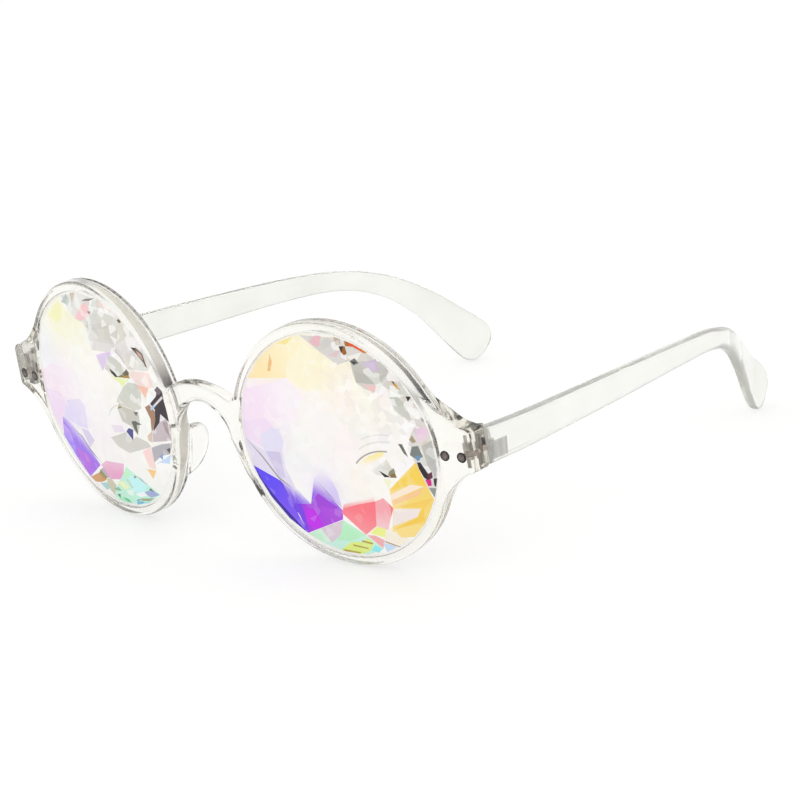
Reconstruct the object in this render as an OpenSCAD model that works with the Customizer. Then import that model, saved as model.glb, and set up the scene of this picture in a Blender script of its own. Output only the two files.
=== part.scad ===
// Clear-framed glasses with round, faceted crystal lenses. The front faces -Y, +X is the wearer's
// left, +Z is up, and the rims and the arm tips stand on the plane z = 0. The origin is on that
// plane, in the middle of the glasses. Each side is drawn in its own frame, with u outward from
// the lens centre along X, v backward along Y and w upward along Z, and is then swept back by
// the wrap, leaned forward with the front and lifted onto the plane.

/* [Rims] */
// Radius of the seat that each lens sits in
seat_r = 25.4; // [24:0.1:26.5]
// Width of each rim round its seat
rim_w = 2.1; // [1.6:0.1:3]
// Distance from the middle of the front to each rim
rim_gap = 8.9; // [8:0.1:10]
// Depth of each rim from front to back
rim_depth = 3.8; // [3.4:0.1:4.4]
// Rounding of the outer edges of each rim
rim_edge_r = 0.9; // [0.4:0.1:1.2]
// Width of the lip behind each lens
lip_w = 1.1; // [0.6:0.1:2]
// Thickness of the lip behind each lens
lip_t = 0.8; // [0.5:0.1:1.2]
// Angle that each rim sweeps back
wrap = 8; // [4:0.5:10]
// Angle that the top of the front leans forward
lean = 5.2; // [2:0.1:8]

/* [Bridge] */
// Height of the top of the bridge above the lens centres
bridge_top = 11; // [9:0.1:13]
// Radius of the bridge's domed top
bridge_dome_r = 17; // [14:0.5:20]
// Depth of the bridge from front to back
bridge_depth = 2.8; // [2.2:0.1:3.6]
// Radius of the arch that sits over the nose
saddle_r = 7.5; // [6:0.1:8]
// Distance from the lens centres down to the middle of the arch
saddle_drop = 1.3; // [0:0.1:3]
// Distance inside each rim's edge at which the curve of the bridge ends
join_in = 0.1; // [0:0.1:1]
// Distance from the lens centres down to the feet of the arch
foot_drop = 9.6; // [6:0.1:12]

/* [Nose pads] */
// Radius of each round nose pad
pad_r = 6.2; // [5:0.1:7]
// Thickness of each nose pad
pad_t = 1.8; // [1.2:0.1:2.4]
// Distance from the lens centres down to the middle of each pad
pad_drop = 8; // [6:0.1:10]
// Distance that the middle of each pad lies in from the rim's outer edge
pad_inset = 1.1; // [0.6:0.1:1.6]
// Angle that each pad opens towards the back
pad_flare = 15; // [5:1:25]
// Angle that each pad opens towards the bottom
pad_splay = 16; // [8:1:22]

/* [End pieces] */
// Length of each end piece from the rim to its outer side, at the back
end_length = 8.5; // [7.5:0.1:10]
// Depth of each end piece from front to back
end_depth = 4.6; // [4:0.1:5.4]
// Height of the top of each end piece above the lens centre
end_top = 6.6; // [5.6:0.1:7.4]
// Distance from the lens centre down to the bottom of each end piece
end_bottom = 2.9; // [2.6:0.1:4]
// Radius of the hollow curve between each end piece and the rim
end_fillet_r = 8.8; // [6:0.1:9]
// Rounding of the outer corners of each end piece
end_corner_r = 1; // [0.4:0.1:2]
// Distance that the outer side of each end piece lies further in at the front than at the back
end_taper = 1.4; // [0.4:0.1:2]

/* [Lenses] */
// Gap between the edge of each lens and its seat
lens_gap = 0.08; // [0.04:0.01:0.2]
// Thickness of each lens at the points of its outer facets
lens_edge_t = 2.6; // [2:0.1:2.8]
// Number of facets in each ring
facet_count = 8; // [6:1:12]
// Radius on which the points of the outer facets meet
ring_r = 17.8; // [16:0.1:19]
// Height of those points above the edge of the lens
ring_rise = 0.5; // [0.3:0.05:1]
// Depth by which the outer points of the long facets are cut into the edge of the lens
tip_cut = 0.03; // [0.02:0.01:0.1]
// Radius of the corners of the flat middle facet
table_r = 9; // [6:0.1:11]
// Turn of the left lens in its rim
left_turn = 15; // [0:1:45]
// Turn of the right lens in its rim
right_turn = 15; // [0:1:45]

/* [Arms] */
// Thickness of each arm
arm_t = 2.3; // [1.8:0.1:2.8]
// Distance from the end piece back to the tip of each arm
arm_reach = 120; // [110:1:130]
// Distance that each tip lies inward of the hinge end
arm_inset = 9.9; // [6:0.1:14]
// Distance that each tip lies below the hinge end
arm_drop = 38.7; // [34:0.1:42]
// Height of the middle of the hinge end above the lens centre
arm_rise = 1.7; // [1:0.1:2.4]
// Width of each arm at its paddle tip
tip_w = 11.4; // [9:0.1:13]
// Gap between each arm and its end piece
arm_gap = 0.15; // [0.1:0.01:0.4]

/* [Hinges] */
// Outer radius of the hinge knuckles
knuckle_r = 1.1; // [1:0.05:1.2]
// Height of all three knuckles together
hinge_h = 7.2; // [6:0.1:8]
// Gap between one knuckle and the next
knuckle_gap = 0.1; // [0.05:0.01:0.2]
// Gap between the knuckles and the inner side of the arm
arm_clear = 0.25; // [0.2:0.01:0.4]
// Distance from the back of the end piece to the hinge axis
axis_back = 2.4; // [2.3:0.05:2.8]
// Height of the middle of the hinge above the lens centre
hinge_w = 0.6; // [0.2:0.1:1.2]
// Thickness of both hinge leaves
leaf_t = 0.8; // [0.6:0.05:0.9]
// Height of the leaf on the end piece
front_leaf_h = 3.8; // [3.2:0.1:5]
// Height of the leaf in the arm
arm_leaf_h = 3.4; // [3:0.1:4]
// Length of the leaf in the arm
arm_leaf_l = 4.6; // [4:0.1:7]
// Distance that the leaf in the arm lies below the middle of the hinge
arm_leaf_drop = 0.9; // [0.2:0.1:1.2]
// Radius of the hinge screw
screw_r = 0.55; // [0.45:0.01:0.65]
// Radius of the hinge screw's head
screw_head_r = 1; // [0.8:0.05:1.1]
// Height of the hinge screw's head
screw_head_h = 0.7; // [0.5:0.05:0.8]
// Gap between the screw and the knuckles around it
screw_clear = 0.05; // [0.02:0.01:0.08]

/* [Rivets] */
// Radius of each rivet
rivet_r = 0.6; // [0.5:0.01:0.8]
// Radius of each rivet's head
rivet_head_r = 1.12; // [1:0.01:1.3]
// Thickness of each rivet's head
rivet_head_t = 0.45; // [0.3:0.05:0.6]
// Length of each inner rivet, which is a short stud
stud_l = 1.5; // [1:0.1:2.5]
// Distance from the rim's outer edge to the middle of the inner rivet
inner_rivet_out = 0.2; // [0.1:0.1:0.6]
// Distance from the outer side of the end piece to the middle of the outer rivet
outer_rivet_in = 4.1; // [3.8:0.1:5]
// Height of the rivets above the lens centre
rivet_w = 0.4; // [0:0.1:1]
// Gap round each rivet
rivet_clear = 0.03; // [0.02:0.01:0.06]

/* [Hidden] */
$fn = 96;

// Distance by which a cutting shape runs past what it cuts, and joined shapes run into each other
overrun = 0.6;

// The arm's middle line and width from the hinge end to the tip, as shares of arm_reach,
// arm_inset, arm_drop and tip_w
arm_shares = [
    [-0.014, 0.000, -0.005, 0.740],
    [0.130, -0.047, 0.056, 0.685],
    [0.380, -0.100, 0.142, 0.590],
    [0.600, -0.090, 0.220, 0.480],
    [0.730, 0.055, 0.292, 0.420],
    [0.820, 0.340, 0.410, 0.465],
    [0.888, 0.660, 0.585, 0.610],
    [0.945, 0.900, 0.800, 0.830],
    [1.000, 1.000, 1.000, 1.000]];
// Part of the last span of the arm that its round tip takes up
tip_round_share = 0.62;
// Squareness of the arm's rounded section: 1 is an ellipse, and nearer 0 is a rectangle
arm_edge_share = 0.45;
// Part of the arm on which its rings are evenly spaced; from there they close up to the tip
even_share = 0.75;
// Part of the arm over which its direction is taken, and that its last ring stops short of the end
step_share = 0.0001;
arm_rings = 64;
arm_sides = 20;

// The places of the rims, end pieces and rivets, worked out from the seat
rim_r = seat_r + rim_w;
lens_x = rim_r + rim_gap;
join_x = rim_gap + join_in;
end_reach = rim_r + end_length;
inner_rivet_u = rim_r + inner_rivet_out;
outer_rivet_u = end_reach - outer_rivet_in;

// The front's curve in plan: the bridge is part of a ring that runs smoothly into both rims
bridge_ring_r = join_x / sin(wrap);
bridge_ring_y = bridge_ring_r * cos(wrap) - (lens_x - join_x) * tan(wrap);

// The lens: from its flat back up to the flat middle facet
lens_r = seat_r - lens_gap;
seat_depth = rim_depth - lip_t;
half_step = 180 / facet_count;
bezel_run = lens_r - ring_r * cos(half_step);
bezel_slope = atan((ring_rise + tip_cut) / bezel_run);
table_rise = (lens_r - table_r) * tan(bezel_slope) - tip_cut;
edge_slope = atan(ring_rise / (lens_r * cos(half_step) - ring_r));
star_slope = atan((table_rise - ring_rise) / (ring_r - table_r * cos(half_step)));

// The hinge
arm_u = end_reach - arm_t / 2;
axis_u = end_reach - arm_t - arm_clear - knuckle_r;
axis_v = end_depth + axis_back;
knuckle_h = (hinge_h - 2 * knuckle_gap) / 3;
hinge_bottom = hinge_w - hinge_h / 2;
leaf_inner_u = outer_rivet_u - rivet_head_r;
web_t = knuckle_r;
screw_slot = screw_head_h / 2;
// The arm's fall over its first span, which the leaf in it follows
arm_fall = atan((arm_shares[1][2] - arm_shares[0][2]) * arm_drop
    / ((arm_shares[1][0] - arm_shares[0][0]) * arm_reach));

// A number from -1 to 1 that follows the cosine, squared up for rounded edges
function squared(a) = sign(cos(a)) * pow(abs(cos(a)), arm_edge_share);
// A row of the table at a place from 0 to 1 along the arm, on a smooth curve through the rows
function row(i) = arm_shares[max(0, min(len(arm_shares) - 1, i))];
function curve(a, b, c, d, t) =
    b + t * (c - a) / 2 + pow(t, 2) * (2 * a - 5 * b + 4 * c - d) / 2
    + pow(t, 3) * (3 * b - a - 3 * c + d) / 2;
function at(s) =
    let (p = s * (len(arm_shares) - 1), i = min(len(arm_shares) - 2, floor(p)), t = p - i)
    curve(row(i - 1), row(i), row(i + 1), row(i + 2), t);
function arm_point(s) = let (q = at(s))
    [arm_u - q[1] * arm_inset, end_depth + q[0] * arm_reach, arm_rise - q[2] * arm_drop];
function unit(a) = a / norm(a);
// The arm's width fades to a half circle over the tip
function tip_fade(s) =
    let (start = 1 - tip_round_share / (len(arm_shares) - 1), x = max(0, (s - start) / (1 - start)))
    sqrt(max(0, 1 - pow(x, 2)));
function arm_ring(s) =
    let (p = arm_point(s), along = unit(arm_point(s + step_share) - arm_point(s - step_share)),
        side = unit(cross(along, [0, 0, 1])), up = cross(side, along), fade = tip_fade(s),
        half_w = at(s)[3] * tip_w * fade / 2, half_t = arm_t * pow(fade, 1 / 2) / 2)
    [for (k = [0 : arm_sides - 1]) let (a = 360 * k / arm_sides)
        p + side * half_t * squared(a) + up * half_w * squared(a - 90)];
function ring_place(i) = let (x = i / (arm_rings - 1), rest = 1 - even_share)
    x < even_share ? x : even_share + rest * sin(90 * (x - even_share) / rest);
arm_points = [for (i = [0 : arm_rings - 1]) each arm_ring(min(ring_place(i), 1 - step_share))];
arm_last = (arm_rings - 1) * arm_sides;
arm_walls = [for (i = [0 : arm_rings - 2]) for (k = [0 : arm_sides - 1])
    let (a = i * arm_sides + k, b = i * arm_sides + (k + 1) % arm_sides)
    each [[a, b, b + arm_sides], [a, b + arm_sides, a + arm_sides]]];
arm_faces = concat(arm_walls,
    [[for (k = [arm_sides - 1 : -1 : 0]) k]],
    [[for (k = [0 : arm_sides - 1]) arm_last + k]]);

// Where the front's foremost point, the arms' rearmost point and the rims' lowest point lie
function leaned(p) = [p[0], p[1] * cos(lean) - p[2] * sin(lean), p[1] * sin(lean) + p[2] * cos(lean)];
function swept(p) = leaned([lens_x + p[0] * cos(wrap) - p[1] * sin(wrap),
    p[0] * sin(wrap) + p[1] * cos(wrap), p[2]]);
rim_front = -rim_r * norm([sin(wrap) * cos(lean), sin(lean)]);
bridge_front = leaned([0, bridge_ring_y - bridge_ring_r, bridge_top])[1];
foremost = min(rim_front, bridge_front);
rearmost = max([for (p = arm_points) swept(p)[1]]);
middle_y = (foremost + rearmost) / 2;
lift = (rim_r - rim_edge_r) * cos(lean) + rim_edge_r * (1 - sin(lean));

// The whole front, leaned forward and lifted onto the plane
module standing() {
    translate([0, -middle_y, lift]) rotate([lean, 0, 0]) children();
}
// One side's own frame, swept back from the lens centre
module left_side() {
    standing() translate([lens_x, 0, 0]) rotate([0, 0, wrap]) children();
}
module right_side() {
    standing() mirror([1, 0, 0]) translate([lens_x, 0, 0]) rotate([0, 0, wrap]) children();
}
// A flat outline in u and w, made solid from start backward
module slab(start, depth) {
    translate([0, start + depth, 0]) rotate([90, 0, 0]) linear_extrude(depth) children();
}
// A round bar along v, from start backward
module bar_v(start, length, r) {
    translate([0, start, 0]) rotate([-90, 0, 0]) cylinder(h = length, r = r);
}

// One rim with rounded outer edges and the lip that the lens rests on
module rim() {
    rotate([-90, 0, 0]) rotate_extrude() {
        translate([seat_r, rim_edge_r]) square([rim_r - seat_r, rim_depth - 2 * rim_edge_r]);
        translate([seat_r, 0]) square([rim_r - rim_edge_r - seat_r, rim_depth]);
        for (z = [rim_edge_r, rim_depth - rim_edge_r])
            translate([rim_r - rim_edge_r, z]) circle(r = rim_edge_r, $fn = 32);
        translate([seat_r - lip_w, seat_depth]) square([lip_w + rim_edge_r, lip_t]);
    }
}
// The flat block outside the rim, with a hollow curve above and below it
module end_outline() {
    reach = rim_r + end_fillet_r;
    top = end_top + end_fillet_r;
    bottom = end_bottom + end_fillet_r;
    top_centre = [sqrt(pow(reach, 2) - pow(top, 2)), top];
    bottom_centre = [sqrt(pow(reach, 2) - pow(bottom, 2)), -bottom];
    corner = end_corner_r;
    difference() {
        union() {
            polygon([[0, 0], top_centre * rim_r / reach, top_centre, [top_centre[0], end_top],
                [end_reach - corner, end_top], [end_reach, end_top - corner],
                [end_reach, corner - end_bottom], [end_reach - corner, -end_bottom],
                [bottom_centre[0], -end_bottom], bottom_centre, bottom_centre * rim_r / reach]);
            translate([end_reach - corner, end_top - corner]) circle(r = corner, $fn = 48);
            translate([end_reach - corner, corner - end_bottom]) circle(r = corner, $fn = 48);
        }
        translate(top_centre) circle(r = end_fillet_r);
        translate(bottom_centre) circle(r = end_fillet_r);
        circle(r = seat_r);
    }
}
// The same block seen from above: its outer side slants, and its front corner is rounded
module end_plan() {
    slant = 90 - atan(end_taper / end_depth);
    corner = [end_reach - end_taper, 0];
    run = end_corner_r / tan(90 - slant / 2);
    centre = corner + [-run, end_corner_r];
    polygon([[0, 0], corner - [run, 0], centre, corner + run * [cos(slant), sin(slant)],
        [end_reach, end_depth], [0, end_depth]]);
    translate(centre) circle(r = end_corner_r, $fn = 48);
}
module end_piece() {
    intersection() {
        slab(0, end_depth) end_outline();
        translate([0, 0, -rim_r]) linear_extrude(2 * rim_r) end_plan();
    }
}
// A round pad that stands behind the rim beside the nose
module nose_pad() {
    pad_u = -sqrt(pow(rim_r, 2) - pow(pad_drop, 2)) + pad_inset;
    intersection() {
        translate([pad_u, rim_depth, -pad_drop]) rotate([0, -pad_splay, -pad_flare])
            rotate([0, 90, 0]) translate([0, 0, -pad_t / 2]) cylinder(h = pad_t, r = pad_r);
        translate([-2 * rim_r, rim_depth - overrun, -2 * rim_r])
            cube([2 * rim_r, 2 * pad_r, 2 * rim_r]);
    }
}
// What is cut out of one side: the lens seat with its window, and the two rivet holes
module side_cuts() {
    bar_v(-2 * rim_depth, 2 * rim_depth + seat_depth, seat_r);
    for (u = [inner_rivet_u, outer_rivet_u]) translate([u, 0, rivet_w])
        bar_v(-overrun, rivet_head_t + overrun, rivet_head_r + rivet_clear);
    translate([inner_rivet_u, 0, rivet_w])
        bar_v(-overrun, overrun + stud_l + rivet_clear, rivet_r + rivet_clear);
    translate([outer_rivet_u, 0, rivet_w])
        bar_v(-overrun, end_depth + 2 * overrun, rivet_r + rivet_clear);
}
// The arch over the nose, seen from the front
module bridge_outline() {
    half = join_x + 2 * rim_w;
    difference() {
        intersection() {
            translate([0, bridge_top - bridge_dome_r]) circle(r = bridge_dome_r, $fn = 128);
            translate([-half, -foot_drop]) square([2 * half, foot_drop + bridge_top]);
        }
        translate([0, -saddle_drop]) circle(r = saddle_r);
        polygon([[-saddle_r, -saddle_drop], [saddle_r, -saddle_drop],
            [join_x + rim_w, -foot_drop - overrun],
            [-join_x - rim_w, -foot_drop - overrun]]);
    }
}
module bridge() {
    intersection() {
        slab(-2 * rim_depth, 4 * rim_depth) bridge_outline();
        translate([0, bridge_ring_y, -rim_r]) difference() {
            cylinder(h = 2 * rim_r, r = bridge_ring_r, $fn = 360);
            translate([0, 0, -overrun])
                cylinder(h = 2 * rim_r + 2 * overrun, r = bridge_ring_r - bridge_depth, $fn = 360);
        }
    }
}
module front_frame() {
    color([0.93, 0.94, 0.92, 0.45]) difference() {
        union() {
            for (side = [0, 1]) mirror([side, 0, 0]) left_side() {
                rim();
                end_piece();
                nose_pad();
            }
            standing() bridge();
        }
        for (side = [0, 1]) mirror([side, 0, 0]) left_side() side_cuts();
    }
}

// All that lies above a plane, which falls outward through a point at radius r and height h
module above_plane(turn, slope, r, h) {
    rotate([0, 0, turn]) translate([r, 0, h]) rotate([0, slope, 0])
        translate([-2 * lens_r, -lens_r, 0]) cube([4 * lens_r, 2 * lens_r, lens_r]);
}
// The crystal after its first cuts: a kite, an outer facet and a triangle by turns
module cut_crystal(cuts) {
    turn = 2 * half_step * floor((cuts - 1) / 3);
    kind = (cuts - 1) % 3;
    if (cuts == 0) cylinder(h = lens_edge_t + table_rise, r = lens_r, $fn = 128);
    else difference() {
        cut_crystal(cuts - 1);
        if (kind == 0) above_plane(turn, bezel_slope, lens_r, lens_edge_t - tip_cut);
        if (kind == 1) above_plane(turn + half_step, edge_slope, ring_r, lens_edge_t + ring_rise);
        if (kind == 2) above_plane(turn + half_step, star_slope, ring_r, lens_edge_t + ring_rise);
    }
}
// A flat-backed crystal with a flat middle, triangles round it, kites and an outer ring of facets
module crystal(turn) {
    translate([0, seat_depth, 0]) rotate([90, 0, 0]) rotate([0, 0, turn])
        cut_crystal(3 * facet_count);
}
module left_lens() {
    color([0.95, 0.86, 0.95, 0.7]) left_side() crystal(left_turn);
}
module right_lens() {
    color([0.95, 0.86, 0.95, 0.7])
        standing() translate([-lens_x, 0, 0]) rotate([0, 0, -wrap]) crystal(right_turn);
}

// The lower front corner of the leaf in the arm, turned down with the arm
module leaf_place() {
    translate([end_reach - arm_t, axis_v, hinge_w]) rotate([-arm_fall, 0, 0])
        translate([0, 0, -arm_leaf_drop - arm_leaf_h / 2]) children();
}
// One arm: a flat moulded strip that narrows, turns down and in behind the ear and ends in a
// paddle, with a pocket on its inner side for the hinge leaf
module arm() {
    front = end_depth + arm_gap;
    difference() {
        polyhedron(points = arm_points, faces = arm_faces, convexity = 6);
        translate([arm_u - 2 * arm_t, front - 2 * tip_w, arm_rise - tip_w])
            cube([4 * arm_t, 2 * tip_w, 2 * tip_w]);
        leaf_place() translate([-arm_t, -knuckle_gap, -knuckle_gap])
            cube([arm_t + leaf_t, arm_leaf_l + 2 * knuckle_gap, arm_leaf_h + 2 * knuckle_gap]);
    }
}
module left_arm() { color([0.88, 0.89, 0.86, 0.6]) left_side() arm(); }
module right_arm() { color([0.88, 0.89, 0.86, 0.6]) right_side() arm(); }

// One knuckle of the hinge, counted from the bottom
module knuckle(i) {
    translate([axis_u, axis_v, hinge_bottom + i * (knuckle_h + knuckle_gap)])
        cylinder(h = knuckle_h, r = knuckle_r, $fn = 48);
}
module knuckle_bore() {
    translate([axis_u, axis_v, hinge_bottom - overrun])
        cylinder(h = hinge_h + 2 * overrun, r = screw_r + screw_clear, $fn = 48);
}
// The leaf that the outer rivet holds on the back of the end piece, with the outer two knuckles
module front_leaf() {
    difference() {
        union() {
            translate([leaf_inner_u, end_depth, hinge_w - front_leaf_h / 2])
                cube([axis_u + knuckle_r - leaf_inner_u, leaf_t, front_leaf_h]);
            for (i = [0, 2]) {
                knuckle(i);
                translate([axis_u - web_t, end_depth, hinge_bottom + i * (knuckle_h + knuckle_gap)])
                    cube([2 * web_t, axis_back, knuckle_h]);
            }
        }
        knuckle_bore();
        translate([outer_rivet_u, 0, rivet_w])
            bar_v(end_depth - overrun, leaf_t + 2 * overrun, rivet_r + rivet_clear);
    }
}
module left_front_leaf() { color([0.62, 0.61, 0.6]) left_side() front_leaf(); }
module right_front_leaf() { color([0.62, 0.61, 0.6]) right_side() front_leaf(); }

// The leaf that is let into the inner side of the arm, with the middle knuckle
module arm_leaf() {
    inner = end_reach - arm_t;
    difference() {
        union() {
            leaf_place() cube([leaf_t, arm_leaf_l, arm_leaf_h]);
            knuckle(1);
            translate([axis_u, axis_v, hinge_bottom + knuckle_h + knuckle_gap])
                cube([inner - axis_u, web_t, knuckle_h]);
        }
        knuckle_bore();
    }
}
module left_arm_leaf() { color([0.62, 0.61, 0.6]) left_side() arm_leaf(); }
module right_arm_leaf() { color([0.62, 0.61, 0.6]) right_side() arm_leaf(); }

// The screw that the hinge turns on, with a slot across its head
module hinge_screw() {
    difference() {
        union() {
            translate([axis_u, axis_v, hinge_bottom]) cylinder(h = hinge_h, r = screw_r, $fn = 48);
            translate([axis_u, axis_v, hinge_bottom + hinge_h])
                cylinder(h = screw_head_h, r = screw_head_r, $fn = 48);
        }
        translate([axis_u - 2 * screw_head_r, axis_v - screw_slot / 2,
            hinge_bottom + hinge_h + screw_head_h - screw_slot])
            cube([4 * screw_head_r, screw_slot, screw_head_h]);
    }
}
module left_hinge_screw() { color([0.45, 0.44, 0.43]) left_side() hinge_screw(); }
module right_hinge_screw() { color([0.45, 0.44, 0.43]) right_side() hinge_screw(); }

// A rivet in the end piece, with its head sunk level with the front
module rivet(u, length) {
    translate([u, 0, rivet_w]) {
        bar_v(0, length, rivet_r);
        bar_v(0, rivet_head_t, rivet_head_r);
    }
}
module inner_rivet() { rivet(inner_rivet_u, stud_l); }
module outer_rivet() { rivet(outer_rivet_u, end_depth + leaf_t); }
module left_inner_rivet() { color([0.5, 0.47, 0.46]) left_side() inner_rivet(); }
module left_outer_rivet() { color([0.5, 0.47, 0.46]) left_side() outer_rivet(); }
module right_inner_rivet() { color([0.5, 0.47, 0.46]) right_side() inner_rivet(); }
module right_outer_rivet() { color([0.5, 0.47, 0.46]) right_side() outer_rivet(); }

front_frame();
left_lens();
right_lens();
left_arm();
right_arm();
left_front_leaf();
right_front_leaf();
left_arm_leaf();
right_arm_leaf();
left_hinge_screw();
right_hinge_screw();
left_inner_rivet();
left_outer_rivet();
right_inner_rivet();
right_outer_rivet();
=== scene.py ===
import bpy
import numpy as np
from mathutils import Matrix, Vector
from mathutils.geometry import delaunay_2d_cdt


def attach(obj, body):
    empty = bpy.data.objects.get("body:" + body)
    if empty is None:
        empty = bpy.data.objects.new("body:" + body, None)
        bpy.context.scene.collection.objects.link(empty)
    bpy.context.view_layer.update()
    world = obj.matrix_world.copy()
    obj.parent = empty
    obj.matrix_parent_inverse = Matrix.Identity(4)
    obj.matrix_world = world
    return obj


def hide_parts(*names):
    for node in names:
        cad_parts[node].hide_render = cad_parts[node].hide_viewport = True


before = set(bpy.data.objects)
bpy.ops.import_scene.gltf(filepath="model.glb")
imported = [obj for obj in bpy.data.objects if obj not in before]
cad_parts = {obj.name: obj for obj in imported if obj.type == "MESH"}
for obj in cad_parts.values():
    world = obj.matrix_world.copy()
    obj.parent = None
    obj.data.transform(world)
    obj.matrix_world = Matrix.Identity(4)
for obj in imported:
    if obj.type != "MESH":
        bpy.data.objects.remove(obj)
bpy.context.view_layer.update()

# The front: one clear injection moulding with both rims, the arched bridge, the nose pads and the
# end blocks. It comes out of a polished mould, so every edge is rounded and every joint between
# its parts is a small hollow curve. Lengths are in millimetres until the mesh is made.
# The wrap turns each side back. The lean tips the front as it stands on the open arms' tips, and
# the object's middle then moves to the origin and its lowest edge to the floor
wrap, lean = np.radians(8.0), np.radians(5.2)
lens_x, middle_y, lift = 36.4, 63.0489, 27.309
rim_r, seat_r, lip_r = 27.5, 25.4, 24.3
rim_depth, seat_depth, window_depth = 3.8, 3.0, 4.2
# The end block's middle height, half height, inner and outer ends, the slant of its side over its
# depth, the hollow curve that joins it to the rim, and where and over what it gets its full depth
block_w, block_half, block_in, block_out, block_slant = 1.85, 4.75, 10, 34.6, 1.4
block_hollow, thicker_from, thicker_over, end_depth = 8.8, 24.5, 4, 4.6
# The bridge's circles above and below, the legs of its arch, its reach, and its ring in plan
dome_w, dome_r, arch_w, arch_r, leg_slope, leg_share = -6, 17, -1.3, 7.5, 0.404, 0.927
bridge_out, bridge_low, bridge_half, bridge_depth = 13.2, -9.6, 9, 2.8
bridge_ring_r = bridge_half / np.sin(wrap)
bridge_ring_y = bridge_ring_r * np.cos(wrap) - (lens_x - bridge_half) * np.tan(wrap)
# A nose pad's radius and half thickness, its place below and inside the rim's edge, where it
# starts behind the rim's front, and its two tilts
pad_r, pad_half, pad_down, pad_in, pad_front = 6.2, 0.9, 8, 1.1, 3.3
splay, flare = np.radians(16), np.radians(15)


def stand(points):
    """Leans points of the front forward about X, sets them on the floor and turns mm to metres."""
    x, y, z = np.moveaxis(np.asarray(points, float), -1, 0)
    leaned = [x, y * np.cos(lean) - z * np.sin(lean) - middle_y,
              y * np.sin(lean) + z * np.cos(lean) + lift]
    return np.stack(leaned, -1) / 1000


def swept(points, side):
    """Takes points of one side, u outward, v backward and w up from the lens centre, to the
    front's own frame: turned back by the wrap, moved out to the lens centre, and mirrored when
    side is -1."""
    u, v, w = np.moveaxis(np.asarray(points, float), -1, 0)
    x = lens_x + u * np.cos(wrap) - v * np.sin(wrap)
    return np.stack([side * x, u * np.sin(wrap) + v * np.cos(wrap), w], -1)


def rounded_and(a, b, r):
    """Distance to the part that two shapes share, with its edge rounded to radius r."""
    return np.minimum(np.maximum(a, b), -r) + np.hypot(np.maximum(a + r, 0), np.maximum(b + r, 0))


def rounded_or(a, b, r):
    """Distance to two shapes together, with a hollow curve of radius r between them."""
    return -rounded_and(-a, -b, r)


def moulding(points):
    """Signed distance to the surface of the front, negative inside. A side is the rim's disc and
    the end block's strip, joined by hollow curves, cut off at the slanted outer side and given its
    depth. The bridge is a strip of a ring in plan, between a dome above and the nose's arch below.
    The lens's seat and window come out of both, and a round pad stands behind each rim."""
    x, y, w = np.abs(points[..., 0]), points[..., 1], points[..., 2]
    u = (x - lens_x) * np.cos(wrap) + y * np.sin(wrap)
    v = y * np.cos(wrap) - (x - lens_x) * np.sin(wrap)
    from_middle = np.hypot(u, w)

    strip = np.maximum(np.abs(w - block_w) - block_half, block_in - u)
    outline = rounded_or(from_middle - rim_r, strip, r=block_hollow)
    slant = np.arctan(block_slant / end_depth)
    outline = rounded_and(outline, (u - block_out) * np.cos(slant) - v * np.sin(slant), r=1.1)
    rise = np.clip((u - thicker_from) / thicker_over, 0, 1)
    back = rim_depth + (end_depth - rim_depth) * rise * rise * (3 - 2 * rise)
    side = rounded_and(outline, np.abs(v - back / 2) - back / 2, r=0.9)

    ring = np.abs(np.hypot(x, y - bridge_ring_y) - bridge_ring_r + bridge_depth / 2)
    dome = np.hypot(x, w - dome_w) - dome_r
    arch = np.hypot(x, w - arch_w) - arch_r
    legs = np.maximum((x - arch_r + (w - arch_w) * leg_slope) * leg_share, w - arch_w)
    span = np.maximum(rounded_and(dome, -np.minimum(arch, legs), r=0.3),
                      np.maximum(x - bridge_out, bridge_low - w))
    bridge = rounded_and(span, ring - bridge_depth / 2, r=1.25)

    seat = rounded_and(from_middle - seat_r, v - seat_depth, r=0.2)
    hole = rounded_or(seat, np.maximum(from_middle - lip_r, v - window_depth), r=0.2)
    solid = rounded_and(rounded_or(side, bridge, r=1.1), -hole, r=0.3)

    normal = np.array([np.cos(splay) * np.cos(flare), -np.cos(splay) * np.sin(flare),
                       np.sin(splay)])
    du = u + np.sqrt(rim_r ** 2 - pad_down ** 2) - pad_in
    dv, dw = v - rim_depth, w + pad_down
    across = du * normal[0] + dv * normal[1] + dw * normal[2]
    spread = np.sqrt(np.maximum(du * du + dv * dv + dw * dw - across * across, 0))
    pad = rounded_and(spread - pad_r, np.abs(across) - pad_half, r=0.85)
    pad = rounded_and(pad, pad_front - v, r=0.2)
    return rounded_or(solid, pad, r=0.7)


def climb(distance, points, near=0.02):
    """The slope of a distance at points: half its change over a small step each way."""
    return np.stack([(distance(points + d) - distance(points - d)) / (2 * near)
                     for d in np.eye(3) * near], -1)


def edge_ends(values, axis, across=slice(None)):
    """A grid's values at the lower and at the upper end of each of its edges along an axis."""
    low, high = [across] * 3, [across] * 3
    low[axis], high[axis] = slice(None, -1), slice(1, None)
    return values[tuple(low)], values[tuple(high)]


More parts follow.
